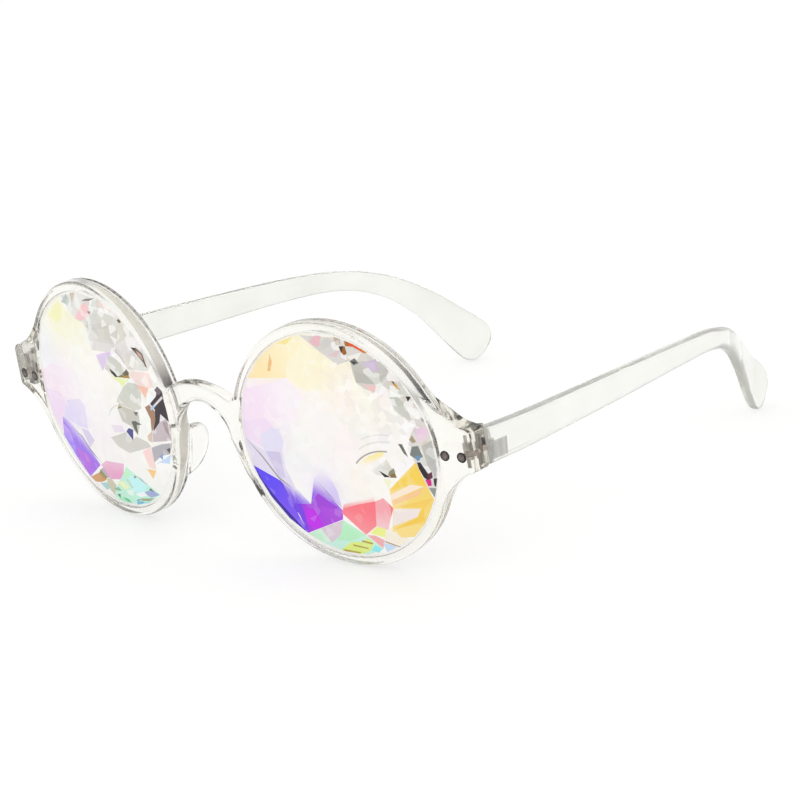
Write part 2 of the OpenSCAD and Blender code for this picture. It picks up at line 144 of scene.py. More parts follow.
def skin(distance, low, high, step, moves=4, flattest=0.25):
    """Points and faces of the zero surface of a signed distance: one point in every cell of a
    regular grid that the surface passes through, at the middle of its crossings of the cell's
    edges and then moved a few times along the distance's slope onto the surface, and one quad
    round every crossed edge. Points that met on a crease become one, which makes some quads
    triangles."""
    axes = [np.arange(a, b + step, step) for a, b in zip(low, high)]
    grid = np.stack(np.meshgrid(*axes, indexing="ij"), -1)
    field = np.stack([distance(part) for part in grid])
    shape = np.array(field.shape)
    inside = field < 0
    total, count = np.zeros((*(shape - 1), 3)), np.zeros(shape - 1)
    for axis in range(3):
        a, b = edge_ends(field, axis)
        crossed = np.not_equal(*edge_ends(inside, axis))
        share = np.where(crossed, a / np.where(crossed, a - b, 1), 0)
        others = [k for k in range(3) if k != axis]
        for i in (0, 1):
            for j in (0, 1):
                cut = [slice(None)] * 3
                cut[others[0]] = slice(i, shape[others[0]] - 1 + i)
                cut[others[1]] = slice(j, shape[others[1]] - 1 + j)
                here = crossed[tuple(cut)]
                count += here
                total[..., axis] += share[tuple(cut)]
                total[..., others[0]] += i * here
                total[..., others[1]] += j * here
    used = count > 0
    number = np.full(used.shape, -1)
    number[used] = np.arange(used.sum())
    corner = np.argwhere(used)
    points = (corner + total[used] / count[used][:, None]) * step + np.asarray(low)
    quads = []
    for axis in range(3):
        a, b = [k for k in range(3) if k != axis]
        first, second = edge_ends(inside, axis, slice(1, -1))
        for start, flip in ((first & ~second, axis == 1), (second & ~first, axis != 1)):
            at = np.argwhere(start)
            at[:, a] += 1
            at[:, b] += 1
            ring = []
            for da, db in ((1, 1), (0, 1), (0, 0), (1, 0)):
                cell = at.copy()
                cell[:, a] -= da
                cell[:, b] -= db
                ring.append(number[tuple(cell.T)])
            quad = np.stack(ring, 1)
            quads.append(quad[:, ::-1] if flip else quad)
    for _ in range(moves):
        slope = climb(distance, points)
        size = np.maximum((slope ** 2).sum(-1, keepdims=True), flattest)
        points = points - np.clip(distance(points)[:, None] * slope / size, -step, step)
    _, kept, same = np.unique(np.round(points, 4), axis=0, return_index=True, return_inverse=True)
    faces = [list(dict.fromkeys(quad)) for quad in same[np.concatenate(quads)].tolist()]
    return points[kept], [face for face in faces if len(face) > 2]


def new_piece(name, points, faces, body, material, slot, smooth=True):
    """Makes a mesh object from points in metres and a list of faces, and fixes it to a body."""
    mesh = bpy.data.meshes.new(name)
    mesh.from_pydata(points.tolist(), [], faces)
    mesh.polygons.foreach_set("use_smooth", [smooth] * len(mesh.polygons))
    mesh.materials.append(material)
    mesh.update()
    piece = bpy.data.objects.new(name, mesh)
    bpy.context.scene.collection.objects.link(piece)
    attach(piece, body)
    return piece


class Flow:
    """A number on its way through a finish. Python's operators on it add Math nodes, and | is the
    greater of two."""

    def __init__(self, finish, socket):
        self.finish, self.socket = finish, socket

    def math(self, operation, first, second):
        return self.finish.node("ShaderNodeMath", {"operation": operation}, {0: first, 1: second})

    def __add__(self, other):
        return self.math("ADD", self, other)

    def __sub__(self, other):
        return self.math("SUBTRACT", self, other)

    def __rsub__(self, other):
        return self.math("SUBTRACT", other, self)

    def __mul__(self, other):
        return self.math("MULTIPLY", self, other)

    def __truediv__(self, other):
        return self.math("DIVIDE", self, other)

    def __rtruediv__(self, other):
        return self.math("DIVIDE", other, self)

    def __pow__(self, other):
        return self.math("POWER", self, other)

    def __rpow__(self, other):
        return self.math("POWER", other, self)

    def __or__(self, other):
        return self.math("MAXIMUM", self, other)

    __radd__, __rmul__, __ror__ = __add__, __mul__, __or__


class Finish:
    """The nodes of one material, or of the world. node() adds a node of a type with its settings,
    then the values or links of its sockets, and gives the socket that comes out of it."""

    def __init__(self, owner):
        self.owner = owner
        owner.use_nodes = True
        self.tree = owner.node_tree
        self.tree.nodes.clear()

    def node(self, kind, settings=None, sockets=None, out=0):
        made = self.tree.nodes.new(kind)
        for key, value in (settings or {}).items():
            if key == "stops":
                made.color_ramp.interpolation = "CONSTANT"
                ramp = made.color_ramp.elements
                while len(ramp) < len(value):
                    ramp.new(0.5)
                for stop, (place, colour) in zip(ramp, value):
                    stop.position, stop.color = place, (*colour, 1)
            else:
                setattr(made, key, value)
        for key, value in (sockets or {}).items():
            if isinstance(value, Flow):
                self.tree.links.new(value.socket, made.inputs[key])
            else:
                made.inputs[key].default_value = value
        return Flow(self, made.outputs[out]) if made.outputs else None

    def principled(self, sockets):
        """The shader of every solid surface."""
        return self.node("ShaderNodeBsdfPrincipled", {}, sockets)

    def place(self, stretch=None):
        """Object coordinates, each multiplied by its own number where a stretch is given."""
        where = self.node("ShaderNodeTexCoord", out="Object")
        if stretch:
            where = self.node("ShaderNodeVectorMath", {"operation": "MULTIPLY"},
                              {0: where, 1: stretch})
        return where

    def ray(self, kind):
        """1 for a ray of one kind, else 0."""
        return self.node("ShaderNodeLightPath", out=f"Is {kind} Ray")

    def painted(self, name, out="Color"):
        """The colour or the alpha that an attribute carries."""
        return self.node("ShaderNodeAttribute", {"attribute_name": name}, out=out)

    def noise(self, where, scale, detail=2.0, rough=0.5):
        """Smooth random levels round 0.5."""
        return self.node("ShaderNodeTexNoise", {}, {"Vector": where, "Scale": scale,
                                                    "Detail": detail, "Roughness": rough})

    def wear(self, low, high, value):
        """value's place between two levels, held to 0..1."""
        return self.node("ShaderNodeMapRange", {"clamp": True}, {
            "Value": value, "From Min": low, "From Max": high, "To Min": 0.0, "To Max": 1.0})

    def blend(self, share, first, second, how="MIX"):
        """A colour a share of the way from the first to the second."""
        settings = {"data_type": "RGBA", "blend_type": how}
        return self.node("ShaderNodeMix", settings, {0: share, 6: first, 7: second}, out=2)

    def tinted(self, share, first, second):
        """The first colour, multiplied by the second as far as the share says."""
        return self.blend(share, first, second, "MULTIPLY")

    def cells(self, where, scale):
        """A random number for each cell of straight-edged splinters."""
        cell = self.node("ShaderNodeTexVoronoi", {}, {"Vector": where, "Scale": scale}, out="Color")
        return self.node("ShaderNodeSeparateColor", {}, {"Color": cell}, out="Red")

    def bump(self, height, strength, distance):
        """A surface that rises and falls with a height."""
        return self.node("ShaderNodeBump", {}, {"Height": height, "Strength": strength,
                                                "Distance": distance})

    def end(self, shader, kind="ShaderNodeOutputMaterial", **more):
        """Links the finished shader, and gives the material or the world."""
        self.node(kind, {}, {"Surface": shader, **more})
        return self.owner

    def end_clear(self, body, shadow, inner, density):
        """Ends a clear plastic: its shadow is a tint, and its depth takes a little of the light."""
        through = self.node("ShaderNodeBsdfTransparent", {}, {"Color": shadow})
        mixed = self.node("ShaderNodeMixShader", {}, {0: self.ray("Shadow"), 1: body, 2: through})
        sockets = {"Color": inner, "Density": density}
        return self.end(mixed, Volume=self.node("ShaderNodeVolumeAbsorption", {}, sockets))


def ink(*rgb):
    """An sRGB colour in 0..255 as a linear colour with alpha 1."""
    c = np.array(rgb) / 255
    c = np.where(c <= 0.04045, c / 12.92, ((c + 0.055) / 1.055) ** 2.4)
    return (*c.tolist(), 1.0)


def clear_plastic():
    """Water-clear polished acrylic: faint flow waves from the mould and a few rubbed patches."""
    f = Finish(bpy.data.materials.new("clear_plastic"))
    where = f.place()
    waves = f.noise(where, 60.0, 0.0)
    rubbed = f.wear(0.55, 0.8, f.noise(where, 260.0))
    body = f.principled({
        "Base Color": f.blend(f.wear(0.3, 0.7, waves), ink(254, 254, 253), ink(250, 250, 247)),
        "Roughness": rubbed * 0.05 + 0.09, "IOR": 1.49, "Transmission Weight": 1.0,
        "Normal": f.bump(waves, 0.1, 0.0004)})
    return f.end_clear(body, (0.9, 0.9, 0.88, 1), ink(240, 230, 196), 25.0)


mould_low, mould_high, mesh_step = (-73.2, -6.4, -28.6), (73.2, 12.6, 28.6), 0.3
front_points, front_faces = skin(moulding, mould_low, mould_high, mesh_step)
front = new_piece("clear_front", stand(front_points), front_faces, "front", clear_plastic(),
                  "clear_plastic")
outward = climb(moulding, front_points, 0.05)
outward = stand(outward) - stand(np.zeros(3))
outward /= np.linalg.norm(outward, axis=1, keepdims=True)
front.data.normals_split_custom_set_from_vertices(outward.tolist())
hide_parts("front_frame")

# The lenses: cut crystals with a flat back, dropped into the seats from the front. Straight cuts
# make a flat middle, triangles, long kites and an outer ring. Each facet's colours, from cream and
# pink to violet, coral, gold and mint, are painted: partly an iridescent coat's own colours, partly
# the fire and reflections that the facets show, painted as fixed colour.
lens_r, edge_t, ring_radius, ring_rise, tip_cut, table_r = 25.32, 2.6, 17.8, 0.5, 0.03, 9.0
facet_count, half_step, first_cut = 8, np.radians(22.5), np.radians(15)
bezel = (ring_rise + tip_cut) / (lens_r - ring_radius * np.cos(half_step))
table_h = edge_t - tip_cut + (lens_r - table_r) * bezel
edge = ring_rise / (lens_r * np.cos(half_step) - ring_radius)
star = (table_h - edge_t - ring_rise) / (ring_radius - table_r * np.cos(half_step))
# The mosaic's grid of points, how near the rim its outlines come, the crystal's clearance from
# its seat, and how much splinters show on the ground edge
grid_rows, grid_across, grid_up, mosaic_r = 28, 0.95, 0.82, 0.985 * lens_r
rim_points, seat_gap, edge_splinters = 144, 0.03, 0.06


def facet_planes():
    """Rows a, b, c of the cutting planes, whose height over the flat back is a x + b z + c: each
    falls outward at its slope through a point at a given radius and height, and the first is the
    flat middle. The crystal's top is the lowest of them everywhere."""
    rows = [(0, 0, table_h)]
    for k in range(facet_count):
        for shift, slope, r, h in ((0, bezel, lens_r, edge_t - tip_cut),
                                   (half_step, edge, ring_radius, edge_t + ring_rise),
                                   (half_step, star, ring_radius, edge_t + ring_rise)):
            a = first_cut + shift + k * 2 * half_step
            rows.append((-slope * np.cos(a), -slope * np.sin(a), h + slope * r))
    return np.array(rows)


def facet_outlines(planes, rim):
    """The outline of every facet seen from the front: the disc's polygon, cut by the line where
    the facet is as high as each other facet."""
    found = []
    for i, plane in enumerate(planes):
        shape = rim
        for other in np.delete(planes, i, 0):
            over = shape @ (plane[:2] - other[:2]) + plane[2] - other[2]
            kept = []
            for p, q, hp, hq in zip(shape, np.roll(shape, -1, 0), over, np.roll(over, -1)):
                if hp <= 0:
                    kept.append(p)
                if (hp < 0) != (hq < 0) and abs(hp - hq) > 1e-12:
                    kept.append(p + (q - p) * hp / (hp - hq))
            shape = np.array(kept).reshape(-1, 2)
            if len(shape) < 3:
                break
        if len(shape) > 2:
            found.append(shape)
    return found


def arc_band(x, z, r, first, last, width):
    """The outline of a thin curved streak: out along one circle and back along a smaller one."""
    a = np.radians(np.linspace(first, last, 9))
    rays = np.stack([np.cos(a), np.sin(a)], -1)
    return np.concatenate([rays * r, rays[::-1] * (r - width)]) + (x, z)


def within(points, shape):
    """Which points lie in a polygon: those whose ray to the right crosses its outline oddly."""
    x, z = points[:, :1], points[:, 1:]
    a, b = shape, np.roll(shape, -1, 0)
    rises = (a[:, 1] > z) != (b[:, 1] > z)
    reach = np.where(rises, (z - a[:, 1]) / np.where(rises, b[:, 1] - a[:, 1], 1), 0)
    return (rises & (x < a[:, 0] + reach * (b[:, 0] - a[:, 0]))).sum(1) % 2 == 1


def split_disc(rim, outlines):
    """Points and counter-clockwise triangles of the crystal's disc seen from the front: a net
    through a regular grid of points, split along the rim and every outline."""
    rows, columns = np.mgrid[-grid_rows:grid_rows + 1, -grid_rows:grid_rows + 1]
    grid = np.stack([(columns + rows % 2 / 2) * grid_across, rows * grid_up], -1).reshape(-1, 2)
    grid = grid[np.hypot(*grid.T) < lens_r - 0.5]
    points, lines = [Vector(p) for p in grid], []
    for loop in [rim, *outlines]:
        n = len(points)
        points += [Vector(p) for p in loop]
        lines += [(n + i, n + (i + 1) % len(loop)) for i in range(len(loop))]
    flat, _, faces, _, _, _ = delaunay_2d_cdt(points, lines, [], 0, 1e-4)
    flat = np.array([tuple(p) for p in flat])
    faces = np.array([f for f in faces if len(f) == 3])
    faces = faces[within(flat[faces].mean(1), rim)]
    (ax, az), (bx, bz) = ((flat[faces[:, k]] - flat[faces[:, 0]]).T for k in (1, 2))
    clockwise = ax * bz < az * bx
    faces[clockwise] = faces[clockwise][:, ::-1]
    return flat, faces


def mosaic(flat, faces, clouds, patches, shapes):
    """Colours of the triangles' corners, which paint the coat's colours together with the fire and
    reflections that the facets show. The ground is nearly white with soft clouds, each a place, a
    radius and a colour, that fade as a bell curve does. A patch is a colour and an outline, and
    lies over those before it. Where it fades, it also has the colour at the far end, or None for
    the ground, and the two points between which it fades. Alpha says how much small splinters of
    painted
    reflection show: most at the upper outer side and where there is no hue, and none on black."""
    middles = flat[faces].mean(1)
    ground, weight = np.array(ink(255, 254, 251)) * 0.5, np.full((len(flat), 1), 0.5)
    for x, z, r, colour in clouds:
        bell = np.exp(-((flat - (x, z)) ** 2).sum(1) / (r * r))[:, None]
        ground, weight = ground + bell * ink(*colour), weight + bell
    colour = (ground / weight)[faces]
    for shape, patch in zip(shapes, patches):
        here = within(middles, shape)
        first = np.array(ink(*patch[0]))
        last, start, end = patch[2] if len(patch) > 2 else (patch[0], (0, 0), (1, 1))
        last = colour[here] if last is None else np.array(ink(*last))
        way = np.subtract(end, start)
        share = np.clip((flat[faces[here]] - start) @ way / (way @ way), 0, 1)[..., None]
        colour[here] = first + (last - first) * share * share * (3 - 2 * share)
    hue = colour[..., :3].max(-1) - colour[..., :3].min(-1)
    up_and_out = np.clip((flat[faces].sum(-1) - 4) / 20, 0, 1)
    light = np.clip(colour[..., :3].max(-1) * 3 - 1, 0, 1)
    colour[..., 3] = np.clip(0.4 + 0.5 * up_and_out - 0.9 * hue, 0.12, 1) * light
    return colour


def crystal(name, node, side, clouds, patches, painted_shade_angle):
    """A closed crystal: the coloured mosaic of coat colour and painted fire and reflection, raised
    to its facets' heights, the ground edge round it, painted dark as shade near one angle, and the
    flat back, where the same mosaic shows paler. An outline's points that come too near the rim are
    drawn in along their radius."""
    planes = facet_planes()
    angles = np.linspace(0, 2 * np.pi, rim_points, endpoint=False)
    rim = np.stack([np.cos(angles), np.sin(angles)], -1) * lens_r
    shapes = [np.array(p[1], float) for p in patches]
    shapes = [s * np.minimum(1, mosaic_r / np.maximum(np.hypot(*s.T), 1e-9))[:, None]
              for s in shapes]
    flat, faces = split_disc(rim, facet_outlines(planes, rim) + shapes)
    colour = mosaic(flat, faces, clouds, patches, shapes)
    height = (flat @ planes[:, :2].T + planes[:, 2]).min(1)

    # The wall stands on the sides that only one triangle has
    n = len(flat)
    sides = np.concatenate([faces[:, [0, 1]], faces[:, [1, 2]], faces[:, [2, 0]]])
    a, b = sides[~np.isin(sides @ (n, 1), sides @ (1, n))].T
    walls = np.stack([b, a, a + n, b + n], 1)
    around = np.degrees(np.arctan2(flat[walls % n, 1], flat[walls % n, 0]))
    # Painted shade: the ground edge turns dark round one angle, centred on the first number and as
    # wide as the second.
    edge_shade = np.exp(-((around - painted_shade_angle[0]) / painted_shade_angle[1]) ** 2)[..., None]
    wall = np.array(ink(240, 237, 232)) * (1 - edge_shade) + np.array(ink(62, 58, 62)) * edge_shade
    wall[..., 3] = edge_splinters
    top = np.stack([flat[:, 0], seat_depth - height, flat[:, 1]], -1)
    bottom = np.stack([flat[:, 0], np.full(n, seat_depth - seat_gap), flat[:, 1]], -1)
    local = np.concatenate([top, bottom]) * (side, 1, 1)
    rows = [*faces.tolist(), *walls.tolist(), *(faces[:, ::-1] + n).tolist()]
    piece = new_piece(name, stand(swept(local, side)), rows, "front", crystal_finish, "crystal",
                      smooth=False)
    behind = colour[:, ::-1] * (0.6, 0.6, 0.6, 0.7) + np.array(ink(255, 254, 252)) * (
        0.4, 0.4, 0.4, 0)
    corners = [c.reshape(-1, 4) for c in (colour, wall, behind)]
    paint(piece, "facet_tint", "CORNER", np.concatenate(corners))
    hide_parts(node)


def paint(piece, name, domain, colours):
    """Writes a colour for each point or face corner into an attribute that a finish reads."""
    tint = piece.data.attributes.new(name, "FLOAT_COLOR", domain)
    tint.data.foreach_set("color", colours.astype(np.float32).ravel())


def crystal_glass():
    """Polished crystal under an iridescent coat: the facets' painted colours, partly the coat's own
    and partly painted fire and reflection, broken into wide pale splinters and fine grey splinters
    of painted reflection with straight edges, each the cell nearest one of many points."""
    f = Finish(bpy.data.materials.new("crystal_glass"))
    where = f.place()
    tint, share = f.painted("facet_tint"), f.painted("facet_tint", "Alpha")
    wide, fine = f.cells(where, 250.0), f.cells(where, 560.0)
    pastel = f.node("ShaderNodeValToRGB", {"stops": [
        (0.0, (1.0, 0.97, 0.91)), (0.2, (1.0, 1.0, 1.0)), (0.45, (1.0, 0.94, 0.97)),
        (0.6, (1.0, 1.0, 0.98)), (0.8, (0.94, 0.95, 1.0)), (0.9, (0.94, 1.0, 0.96))]}, {0: wide})
    grey = f.node("ShaderNodeValToRGB", {"stops": [
        (0.0, (0.72, 0.71, 0.69)), (0.3, (0.9, 0.89, 0.87)), (0.6, (1.0, 1.0, 1.0))]}, {0: fine})
    shade = f.tinted(share * 0.8, tint, pastel)
    shade = f.tinted(share * share * 0.5, shade, grey)
    # Some small splinters are lit white as painted glints.
    glint = f.wear(0.78, 0.82, fine) * share * 0.7
    shade = f.blend(glint, shade, ink(255, 254, 252))
    scratch = f.noise(where, 1500.0)
    return f.end(f.principled({
        "Base Color": shade, "Roughness": scratch * 0.04 + 0.04, "IOR": 1.5, "Alpha": 0.97,
        "Specular IOR Level": 0.3, "Coat Weight": 0.12, "Coat Roughness": 0.02,
        "Normal": f.bump(scratch, 0.03, 0.0002)}))


crystal_finish = crystal_glass()
# The left crystal's washes and facets of coat colour and painted fire and reflection, in
# millimetres from its middle, outward and up
near_clouds = [
    (-14, 18, 6, (255, 238, 196)), (-3, 18, 7, (255, 250, 226)), (-18, 8, 7, (250, 232, 248)),
    (-18, -1, 6, (238, 230, 250)), (2, 5, 8, (254, 244, 246)), (-8, -1, 7, (250, 252, 246)),
    (8, 11, 6, (255, 252, 228)), (5, -7, 5, (255, 249, 240)), (-5, -9, 4, (236, 226, 250)),
    (13, 3, 6, (250, 248, 250))]
near_patches = [
    # cream, straw and pink at the upper left
    ((255, 248, 218), [(-5.5, 25), (-13, 22), (-18, 18), (-21, 13.4), (-10, 14.6), (-5, 12),
        (3, 13), (8, 14.8), (7.4, 19.6), (4, 18.6), (0, 21)], (None, (-2, 18), (4, 11))),
    ((255, 232, 178), [(-6, 24.8), (-13, 21.8), (-18, 18), (-21, 13.5), (-10, 14.6), (-9.5, 18),
        (-5, 22)], ((255, 246, 208), (-20, 15), (-6, 21))),
    ((252, 232, 150), [(-7, 24.4), (-12, 22.4), (-9, 22)]),
    ((242, 190, 120), [(-13.9, 19.6), (-13.6, 17.8), (-14.4, 15.6), (-15.2, 15.6)]),
    ((250, 230, 248), [(-24, 8), (-22.6, 11), (-10, 14.6), (-6.4, 10.6), (-10, 5), (-15, 4),
        (-24.9, 3)], ((254, 246, 251), (-22, 8), (-8, 10))),
    ((246, 226, 248), [(-24.9, 3), (-18, 4.8), (-14.6, 1.4), (-15, -4), (-24.8, -0.6)]),
    ((232, 228, 250), [(-20.5, 0.5), (-17, 2.6), (-14.4, 2.6), (-14, -0.4), (-15, -2.6),
        (-20, -3)]),
    # lavender at the left and the two scratches of light beside it
    ((230, 224, 243), [(-24.8, -0.6), (-20, -3), (-15, -2.6), (-14.8, -6.4), (-13, -11),
        (-17, -9.6), (-24, -6.8)]),
    ((212, 204, 234), [(-19.6, -3), (-15.6, -2.8), (-15.4, -8.6), (-17.2, -9)]),
    ((160, 150, 150), [(-24.8, -0.5), (-21, -4), (-17.2, -8.8), (-13.4, -11.3), (-17.4, -9.2),
        (-21.3, -4.2)]),
    # violet, dark along the seat
    ((92, 66, 250), [(-24.2, -6.9), (-17, -9.6), (-15.1, -14), (-12.4, -21.4), (-17, -18.2),
        (-21, -13.6), (-23.4, -9.6)], ((128, 84, 246), (-21, -9), (-14, -19))),
    ((50, 12, 160), [(-24.2, -6.9), (-22, -10.6), (-18.8, -14.8), (-12.4, -21.4), (-17, -18.6),
        (-21, -14.4), (-23.6, -10)]),
    ((64, 40, 170), [(-17.2, -9.6), (-16.5, -10.2), (-15, -13.8), (-15.4, -13.8)]),
    ((70, 40, 150), [(-15.2, -14.5), (-13.9, -14.7), (-13.1, -17.6), (-14.2, -16.6)]),
    ((136, 92, 238), [(-15.2, -14.6), (-9.8, -14.2), (-12.6, -11.2), (-17, -9.5)],
        (None, (-14, -13.2), (-12.4, -10.4))),
    # magenta, with two spikes that fade upward
    ((170, 50, 230), [(-15.1, -14.6), (-9.8, -14.2), (-1.3, -14.8), (-1.8, -16.9), (-12.4, -21.4),
        (-13.4, -17.4)], ((178, 78, 226), (-12, -18), (-2, -15.6))),
    ((120, 60, 236), [(-15.1, -14.6), (-12.4, -14.4), (-12, -20.9), (-12.8, -20.6),
        (-13.6, -17.4)]),
    ((198, 34, 240), [(-11.6, -15.6), (-9, -15.4), (-7.6, -19.2), (-10.2, -20.4), (-12, -19)]),
    ((160, 108, 236), [(-9.8, -14.2), (-7.3, -7.6), (-1.3, -14.8)], (None, (-8, -12),
        (-6.2, -7.4))),
    ((164, 64, 224), [(-9.8, -14.2), (-7.2, -11.4), (-1.3, -14.8)]),
    ((218, 206, 250), [(-7.4, -7.9), (-3.6, -4.8), (-1.6, -10.4), (-1.4, -14.2), (-6, -9.6)],
        (None, (-3, -11), (-4, -5))),
    ((140, 126, 160), [(-6.6, -8.4), (-4, -11.2), (-0.9, -14.6), (-4.3, -11.2)]),
    # coral and rose
    ((252, 150, 154), [(-1.4, -14.8), (7.8, -12), (7.5, -10.4), (-0.8, -13.2)],
        (None, (3.2, -13.4), (2.8, -11.6))),
    ((255, 122, 134), [(-1.7, -15.4), (3.4, -20), (6.7, -17.6), (7.8, -11.7), (3, -12.9),
        (-1, -14.3)], ((255, 148, 156), (3, -13), (2, -19))),
    ((250, 172, 178), [(7.8, -11.7), (10, -10.7), (12.1, -12.8), (10.6, -16), (9.6, -18.2),
        (6.7, -17.6)], ((252, 206, 210), (9, -13), (8.4, -18))),
    ((240, 128, 142), [(11, -11.7), (12.1, -12.9), (11.2, -14.8), (11.4, -13)]),
    ((246, 178, 182), [(3.6, -20), (5.8, -19.9), (8.1, -20.8), (7.2, -22.8)]),
    # mint, aqua and lemon along the bottom
    ((204, 246, 230), [(-12.3, -21.5), (-1.8, -17), (3.5, -20.1), (7.3, -22.9), (3, -24.9),
        (-4, -25), (-9, -23.4)]),
    ((200, 244, 208), [(-12.3, -21.5), (-8.5, -19.8), (-6.4, -23), (-9, -23)], ((226, 248, 232),
        (-10, -22), (-7, -21))),
    ((226, 210, 222), [(-8.5, -19.8), (-1.9, -17.1), (-3.4, -20.8), (-6.4, -23)]),
    ((188, 246, 202), [(-1.9, -17.1), (3.2, -20.1), (-1, -22), (-5, -22.2), (-3.2, -20.4)]),
    ((226, 244, 132), [(3.6, -20.7), (2, -21.8), (-1, -22.2), (-4.4, -24.6), (1, -24.9),
        (3.8, -23.6), (5, -21.6)]),
    ((176, 160, 70), [(-0.8, -22.7), (3.3, -23.1), (3.2, -23.4), (-0.6, -23.1)]),
    ((170, 140, 80), [(2, -21.4), (4.8, -21.8), (4.6, -22.1), (2, -21.8)]),
    ((186, 170, 76), [(-3.9, -24.2), (1, -24.4), (0.6, -24.8), (-3.4, -24.8)]),
    ((150, 240, 246), [(4, -23.6), (5.2, -22.2), (7, -22.9), (5.8, -24)]),
    ((242, 248, 146), [(4.6, -19.5), (6.7, -17.7), (9.4, -18.1), (8.6, -20.2)]),
    ((252, 244, 226), [(8.8, -18.4), (10.8, -17.4), (14.5, -20), (11.8, -21.8), (8.2, -20.6)]),
    ((204, 226, 250), [(7.4, -21.4), (11.2, -21.9), (8, -23.6)]),
    ((186, 144, 84), [(8.1, -20.9), (11.9, -22), (11.7, -22.3), (8.2, -21.3)]),
    # gold fan at the lower right
    ((253, 224, 140), [(12, -8.6), (15, -6), (19.9, -1.8), (21.6, -7), (22.8, -10), (20.6, -14.6),
        (19.4, -16.6), (16, -19.4), (10.6, -18.4), (12, -13)], ((250, 218, 116), (12, -8),
        (19, -9))),
    ((250, 214, 88), [(12.4, -8.8), (14.6, -6.4), (17.2, -5), (16.6, -7.4)]),
    ((250, 212, 84), [(18, -3.4), (19.9, -1.8), (21.4, -7), (19.4, -6.8), (17.8, -5.2)]),
    ((255, 236, 216), [(12, -9.8), (17.6, -7), (20.8, -7.2), (12.1, -11)]),
    ((252, 204, 148), [(12.2, -11.2), (20.8, -7.4), (19.2, -9.4), (12.4, -12)]),
    ((250, 210, 98), [(12.6, -12.6), (22.6, -9.6), (20.4, -12)]),
    ((246, 234, 230), [(12.2, -13), (19, -12.4), (17.8, -14.4), (11, -17.2)]),
    ((250, 208, 82), [(11, -18), (17.6, -14.6), (19.9, -11.8), (19.4, -15.2), (14, -17)]),
    ((254, 226, 140), [(11, -18.1), (17, -16.2), (19.2, -16.2), (16, -19.4), (12.6, -19.8)]),
    # grey and white splinters at the upper right, with brown chips
    ((224, 220, 214), [(-5.2, 25), (0, 21), (4, 18.6), (7.4, 19.8), (7.6, 17), (8.2, 15),
        (10, 13.8), (13, 13.2), (16, 12), (16.8, 9.5), (19.6, 7.4), (24.6, 5.4), (23.2, 9.8),
        (18.6, 16.8), (11.6, 22), (5, 24.9)]),
    ((203, 202, 196), [(7.5, 19.6), (10, 19.8), (15, 20.4), (17, 18), (14.4, 15.2), (8.2, 15)]),
    ((192, 191, 184), [(8, 17.6), (13, 16.4), (16, 17.4), (13.4, 15), (8.2, 15)]),
    ((212, 196, 220), [(10.2, 19.4), (14.2, 20.8), (14.5, 18), (12.2, 17.8)]),
    ((238, 190, 198), [(-2.6, 23.2), (-1, 24.6), (0.6, 24.6), (-0.2, 22.2), (-1.6, 22.4)]),
    ((228, 202, 200), [(1.8, 20.6), (5.4, 22.2), (4, 20.2)]),
    ((246, 244, 240), [(6.6, 20.6), (10.6, 21.8), (9.4, 20.2), (7.4, 20)]),
    ((248, 204, 202), [(10, 14.8), (13.3, 14.6), (12, 13)]),
    ((250, 249, 246), [(13.6, 13), (14.4, 15), (17.4, 13.4), (20, 13), (16.6, 11.8)]),
    ((208, 210, 202), [(16, 12.4), (17, 9.8), (20, 7.6), (20.6, 8), (19.8, 10.6), (18, 12.6)]),
    ((244, 242, 238), [(19.8, 10.6), (22.6, 10.2), (23, 8), (20.6, 8)]),
    ((196, 178, 156), [(3.8, 24.8), (5.6, 24.6), (5.4, 23), (4.2, 22.8)]),
    ((152, 96, 34), [(4.9, 22.7), (6.5, 22.8), (6.8, 21.2), (6, 20.8), (5.2, 21.6)]),
    ((60, 48, 32), [(4.9, 22.7), (6.1, 22.8), (5.5, 21.4)]),
    ((228, 88, 34), [(6.4, 24), (8.6, 23.8), (12.1, 22), (11.3, 21.6), (8.6, 22.8), (6.8, 22.9)]),
    ((176, 104, 24), [(6.4, 24), (7.7, 23.9), (7.3, 22.8), (6.6, 22.9)]),
    ((206, 140, 40), [(10.4, 22.8), (12.1, 22), (11.3, 21.6)]),
    ((112, 114, 110), [(7.2, 19.6), (8.6, 20.4), (9.5, 19.4), (8.2, 18.8)]),
    ((44, 46, 44), [(7.6, 19.6), (9, 19.6), (8.2, 19.1)]),
    ((206, 150, 46), [(17, 15.9), (17.9, 15.5), (18.9, 14.2), (18, 14.3)]),
    ((96, 84, 44), [(17, 16), (17.7, 15.8), (17.5, 15.2)]),
    ((48, 44, 42), [(20, 12.8), (21.3, 12.8), (20.4, 11.6)]),
    ((150, 154, 148), [(22.8, 8.4), (24, 8), (23.4, 7.3)]),
    # dark splinters at the right
    ((226, 222, 218), [(18.4, 1), (19.8, 4.4), (21, 6), (24.6, 5.4), (25.1, 0), (24.6, -6),
        (23, -9.6), (21.8, -7.5), (20, -2)]),
    ((240, 214, 232), [(21, 5.6), (23.6, 6.4), (24.4, 5.2), (21.8, 2.6)]),
    ((196, 195, 190), [(22, 2), (24.9, 3.4), (25, -3), (24, -5.5), (22.6, -2)]),
    ((172, 156, 122), [(19.2, 3.2), (20.1, 4.3), (20.9, 2.9), (20, 2.5)]),
    ((122, 130, 126), [(19.6, 1.7), (21.2, 2), (21.9, -0.4), (20.4, -1.2), (18.8, -0.2)]),
    ((70, 128, 176), [(20, -0.3), (21.4, -0.2), (21, -1.3), (20.3, -1.4)]),
    ((34, 26, 34), [(20.2, -1.8), (21, -1.7), (22.5, -4.3), (22.3, -6), (21.2, -5),
        (20.4, -3.2)]),
    ((96, 36, 58), [(22.2, -4.3), (23.4, -3.7), (23.4, -5), (22.3, -5.7)]),
    ((214, 30, 132), [(21.5, -5.6), (22.9, -5.5), (22.8, -6.9), (21.9, -7)]),
